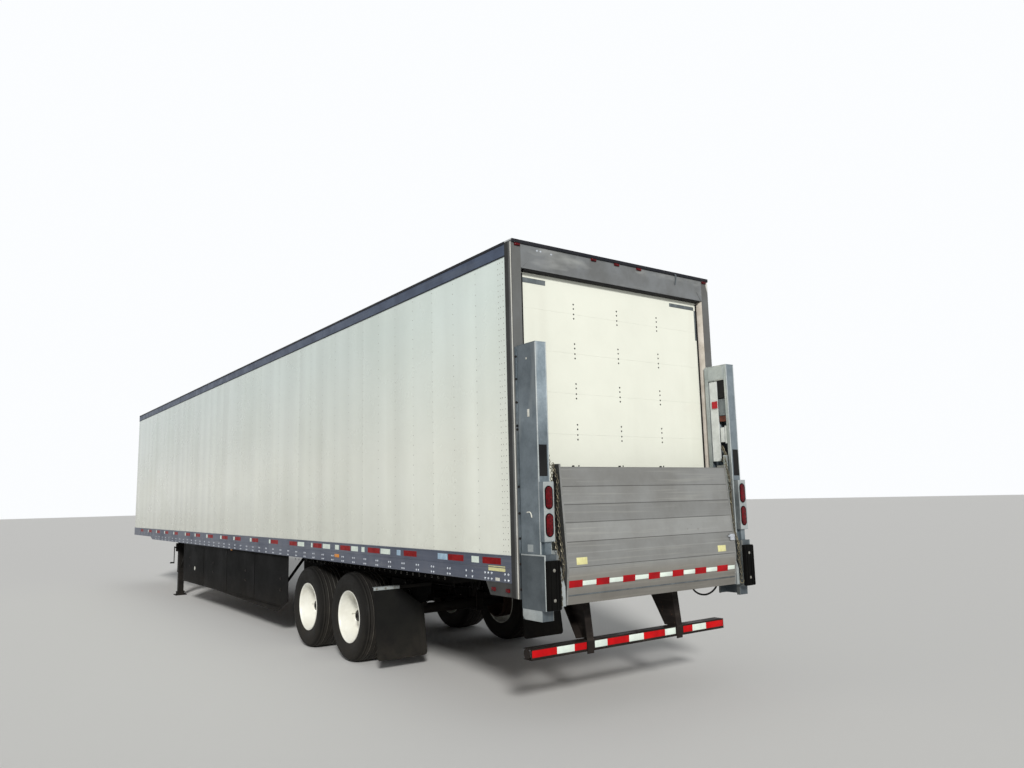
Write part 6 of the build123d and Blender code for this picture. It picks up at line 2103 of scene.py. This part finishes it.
@dataclass
class Bogie(Assembly):
    """Air springs, axle clamps, pivot bolts, air lines and the holes of the slide rails."""

    axles: Span = (3.455, 4.725)
    arm_y: float = 0.52
    spring_trail: float = 0.39
    seat_z: float = 0.65
    slider_z: float = 0.884

    def springs(self) -> None:
        """Rolling-lobe air springs with their pistons and bead plates."""
        height = self.slider_z - self.seat_z
        lobe = [
            (0.0, 0.0), (0.082, 0.0), (0.086, 0.004), (0.082, 0.012), (0.08, height * 0.22),
            (0.086, height * 0.3), (0.104, height * 0.31), (0.117, height * 0.37), (0.121, height * 0.46),
            (0.121, height * 0.74), (0.117, height * 0.86), (0.104, height * 0.945), (0.092, height * 0.965),
            (0.094, height * 0.98), (0.094, height - 0.0005), (0.0, height - 0.0005)]
        springs = []
        for axle in self.axles:
            for side in SIDES:
                centre = at(axle - self.spring_trail, side * self.arm_y, self.seat_z + 0.0003)
                springs.append(Bench.lathe("spring", lobe, "Z", centre, 32))
        self.group("air_bellows", springs, BLACK_RUBBER, "spring_rubber", "air_springs")

    def clamps(self) -> None:
        """U-bolts over the axles and the bolts through the arms' pivots."""
        parts = []
        for axle in self.axles:
            for y in (0.475, 0.565):
                for x in (axle - 0.078, axle + 0.078):
                    parts.append(Bench.rod("ubolt", at(x, y, 0.414), at(x, y, 0.688), 0.008, 10, 0.002))
                    parts.append(Bench.rod("ubolt_nut", at(x, y, 0.69), at(x, y, 0.704), 0.015, 6))
            parts.append(
                Bench.rod(
                    "pivot_bolt", at(axle + 0.56, 0.462, 0.64), at(axle + 0.56, 0.586, 0.64), 0.02, 16,
                    0.003))
            parts.append(
                Bench.rod("pivot_nut", at(axle + 0.56, 0.586, 0.64), at(axle + 0.56, 0.602, 0.64), 0.03, 6))
        self.pair(Bench.join("axle_clamps", parts), DARK_BOLT, "chassis_steel")

    def rail_holes(self) -> None:
        """Rims of the holes along the slide rails."""
        ring = Bench.lathe(
            "ring", [(0.011, 0.0), (0.018, 0.0), (0.018, 0.0015), (0.011, 0.0015)], "Y", (0, 0, 0), 14, True)
        places = [facing(side, 2.55 + 0.152 * k, 0.4885, 0.949) for side in SIDES for k in range(32)]
        self.spread("slide_rail_holes", ring, places, NUT_STEEL, "chassis_steel")

    def air_lines(self) -> None:
        """Air lines from the tank along the bogie to the brake chambers."""
        back, front = self.axles
        to_front = (
            (6.25, 0.25, 0.965), (6.0, 0.34, 0.9), (5.4, 0.36, 0.905), (front + 0.363, 0.345, 0.86),
            (front + 0.223, 0.33, 0.7), (front + 0.183, 0.33, 0.616))
        to_back = (
            (6.25, 0.2, 0.965), (5.9, 0.29, 0.92), (4.6, 0.3, 0.925), (back + 0.378, 0.31, 0.88),
            (back + 0.228, 0.325, 0.7), (back + 0.188, 0.33, 0.616))
        lines = [
            Bench.pipe("line", [(x, side * y, z) for x, y, z in route], 0.008, 2)
            for route in (to_front, to_back) for side in SIDES]
        self.group("brake_lines", lines, HOSE_BLACK, "hose_rubber")

    def build(self) -> None:
        """Makes the pieces of the bogie."""
        self.springs()
        self.clamps()
        self.rail_holes()
        self.air_lines()


@dataclass
class LowerBody(Assembly):
    """Flaps, skirts, landing gear and power box."""

    flap_x: float = 2.74
    flap_lean: float = 0.11
    flap_z: Span = (0.125, 0.86)
    skirt_y: float = 1.242

    def flap_skin(self, z: float) -> float:
        """The frame's X of the leaning flaps' rear side at a height."""
        foot, top = self.flap_z
        return rear(self.flap_x - self.flap_lean * (top - z) / (top - foot))

    def flaps(self) -> None:
        """Pale clamp bars and bolts of the flaps, and their moulded rims."""
        x = self.flap_x
        bar = Bench.block("flap_clamp", at(x - 0.007, 0.975, 0.862), at(x - 0.0005, 1.2945, 0.894), 0.002)
        cap = Bench.block(
            "flap_clamp_top", at(x - 0.0005, 0.975, 0.8952), at(x + 0.035, 1.2945, 0.8985), 0.0012)
        self.pair(Bench.join("flap_clamps", [bar, cap]), PALE_ZINC, "galvanised")
        places = [facing_rear(x - 0.007, side * y, 0.878) for side in SIDES for y in (1.26, 1.15, 1.04)]
        self.spread("flap_bolts", Bench.bolt(0.009, 0.007), places, NUT_STEEL, "galvanised")
        ribs = []
        for y0, y1, z0, z1 in (
                (0.73, 1.245, 0.139, 0.147), (1.283, 1.29, 0.175, 0.85), (0.686, 0.693, 0.175, 0.64)):
            corners = [(self.flap_skin(z), y, z) for y, z in ((y0, z0), (y1, z0), (y1, z1), (y0, z1))]
            ribs.append(Bench.plate("rib", corners, (-0.003, 0, 0), 0.001))
        self.pair(Bench.join("flap_rims", ribs), FLAP_RUBBER, "flap_rubber")

    def skirts(self) -> None:
        """Bolt pairs, panel joints, hems and the blank pale disc of the skirts."""
        pairs = ((9.25, 0.837, 0.684), (7.42, 0.81, 0.664), (5.83, 0.789, 0.631), (10.85, 0.86, 0.7))
        places = [
            facing(side, x, self.skirt_y, z) for side in SIDES for x, high, low in pairs for z in (high, low)]
        self.spread("skirt_bolts", Bench.bolt(0.014, 0.009), places, DARK_BOLT, "skirt_panel")
        disc = Bench.lathe(
            "skirt_disc", [(0.0, 0.003), (0.03, 0.003), (0.036, 0.0015), (0.036, 0.0), (0.0, 0.0)], "Y",
            at(10.49, self.skirt_y, 0.675), 28)
        self.finish(disc, LABEL_PALE, "skirt_panel")
        parts = []
        for x in (7.0, 8.45, 9.9):
            parts.append(
                Bench.block(
                    "joint", (rear(x) - 0.02, self.skirt_y, 0.4),
                    (rear(x) + 0.02, self.skirt_y + 0.003, 1.122), 0.001))
        parts.append(
            Bench.block("hem", at(5.84, self.skirt_y, 0.391), at(11.345, self.skirt_y + 0.003, 0.425), 0.001))
        parts.append(
            Bench.block(
                "head", at(5.535, self.skirt_y, 1.085), at(11.345, self.skirt_y + 0.004, 1.122), 0.001))
        sag = ((5.535, 0.49), (5.93, 0.325), (9.2, 0.392), (5.84, 0.4), (5.535, 0.512))
        parts.append(Bench.plate("lower_hem", [at(x, self.skirt_y, z) for x, z in sag], (0, 0.003, 0)))
        self.pair(Bench.join("skirt_joints", parts), SKIRT_BLACK, "skirt_panel")

    def landing_gear(self) -> None:
        """Gear housing, crank grip, foot pins and mounting plates of the legs."""
        leg_y, x = 1.0, 12.55
        parts = [
            Bench.block("plate", at(x - 0.085, 0.934, 0.8), at(x + 0.085, 0.9372, 1.124), 0.0012),
            Bench.rod("foot_pin", at(x, leg_y - 0.085, 0.062), at(x, leg_y + 0.085, 0.062), 0.016, 14, 0.002),
            Bench.block(
                "collar", at(x - 0.068, leg_y - 0.068, 0.47), at(x + 0.068, leg_y + 0.068, 0.5), 0.004)]
        self.pair(Bench.join("leg_fittings", parts), CHASSIS_BLACK, "box_black")
        self.slab(
            "gear_housing", at(x - 0.055, leg_y + 0.0625, 0.9), at(x + 0.055, leg_y + 0.11, 1.07),
            CHASSIS_BLACK, "box_black", 0.01, inset=("+Y", 0.014, 0.004), both=False)
        grip = Bench.rod(
            "crank_grip", at(x, leg_y + 0.1535, 0.672), at(x, leg_y + 0.225, 0.672), 0.015, 18, 0.004)
        self.finish(grip, BLACK_RUBBER, "bumper_rubber")

    def power_box(self) -> None:
        """Lid joint, latches and hinges of the power box."""
        low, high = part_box("power_box")
        self.slab(
            "power_box_lid", (low.x + 0.012, low.y - 0.004, low.z + 0.02),
            (high.x - 0.012, low.y, high.z - 0.04), BLACK_BOX, "box_black", 0.0015, inset=("-Y", 0.03, 0.002),
            both=False)
        latches = []
        for x in (low.x + 0.16, high.x - 0.16):
            latches.append(
                Bench.block(
                    "latch", (x - 0.02, low.y - 0.014, low.z + 0.06),
                    (x + 0.02, low.y - 0.0025, low.z + 0.14), 0.004))
            latches.append(
                Bench.rod(
                    "hinge", (x - 0.04, low.y - 0.006, high.z - 0.036),
                    (x + 0.04, low.y - 0.006, high.z - 0.036), 0.007, 12, 0.001))
        self.group("power_box_latches", latches, NUT_STEEL, "box_black")

    def build(self) -> None:
        """Makes the pieces under the body."""
        self.flaps()
        self.skirts()
        self.landing_gear()
        self.power_box()


@dataclass
class NoseTrim(Assembly):
    """Couplings, socket, rivets and joints on the nose and the roof."""

    face: float = 16.149
    z: float = 1.56

    def couplings(self) -> None:
        """Air couplings and the electric socket with its sprung lid, standing for the CAD box."""
        low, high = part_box("front_connectors")
        plate_x = rear(self.face + 0.03)
        self.finish(
            Bench.block(
                "nose_box", (low.x, low.y, low.z), (plate_x, high.y, high.z), 0.006,
                inset=("+X", 0.012, 0.003)),
            BLACK_BOX, "box_black", "front_connectors")
        heads = []
        for y in (-0.145, 0.145):
            heads.append(Bench.lathe("neck", [
                (0.0, -0.003), (0.017, -0.003), (0.017, 0.02), (0.029, 0.024), (0.03, 0.036), (0.02, 0.0375),
                (0.015, 0.033), (0.0, 0.033)], "X", (plate_x, y, self.z), 28))
            heads.append(
                Bench.block(
                    "lug", (plate_x + 0.02, y - 0.045, self.z - 0.014),
                    (plate_x + 0.031, y - 0.015, self.z + 0.014), 0.004))
        self.group("air_couplings", heads, NUT_STEEL, "box_black")
        socket = Bench.lathe("socket", [
            (0.0, -0.003), (0.037, -0.003), (0.037, 0.02), (0.034, 0.023), (0.034, 0.03), (0.028, 0.0335),
            (0.0, 0.0335)], "X", (plate_x, 0.0, self.z), 32)
        hinge = Bench.rod(
            "lid_hinge", (plate_x + 0.024, -0.022, self.z + 0.036), (plate_x + 0.024, 0.022, self.z + 0.036),
            0.006, 12)
        self.group("electric_socket", [socket, hinge], BLACK_BOX, "box_black")

    def sheet(self) -> None:
        """Upright joints and rivets on the nose wall."""
        joints, places = [], []
        out = Matrix.Rotation(-math.pi / 2, 4, "Z")
        for y in (-0.91, -0.305, 0.305, 0.91):
            joints.append(
                Bench.block(
                    "joint", at(self.face, y - 0.02, 1.357), (rear(self.face) + 0.0015, y + 0.02, 3.974),
                    0.0005))
            for k in range(26):
                places.append(Matrix.Translation((rear(self.face) + 0.0015, y, 1.4 + 0.1 * k)) @ out)
        self.group("nose_joints", joints, NOSE_SHEET, "white_panel")
        for k in range(12):
            for z in (1.32, 1.215, 4.075, 3.995):
                places.append(Matrix.Translation(at(NOSE, -1.1 + 0.2 * k, z)) @ out)
        self.spread("nose_rivets", Bench.dome(0.007, 0.003, 8), places, SHEET_RIVET, "white_panel")

    def roof(self) -> None:
        """Joints across the roof over its bows."""
        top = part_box("roof_panel")[1].z
        joints = [
            Bench.block(
                "joint", (rear(0.62 + 1.22 * k) - 0.018, -1.27, top - 0.0004),
                (rear(0.62 + 1.22 * k) + 0.018, 1.27, top + 0.0012), 0.0004)
            for k in range(13)]
        self.group("roof_joints", joints, ROOF_SHEET, "roof_sheet")

    def build(self) -> None:
        """Makes the trim of nose and roof."""
        self.couplings()
        self.sheet()
        self.roof()


def main() -> None:
    """Builds the whole scene, the camera and the cord first."""
    logging.basicConfig(level=logging.INFO, format="%(name)s: %(message)s")
    StudioView().build()
    HangingHose().build()
    dress_nodes()
    SideSheets().build()
    RailTrim().build()
    RearFrameTrim().build()
    Lamps().build()
    ColumnTrim().build()
    Platform().build()
    Chains().build()
    GuardTrim().build()
    for place, axle_x, side in (
            ("rear_left", 3.455, 1.0), ("rear_right", 3.455, -1.0), ("front_left", 4.725, 1.0),
            ("front_right", 4.725, -1.0)):
        RoadWheel(place=place, axle_x=axle_x, side=side).build()
    Bogie().build()
    LowerBody().build()
    NoseTrim().build()


if __name__ == "__main__":
    main()
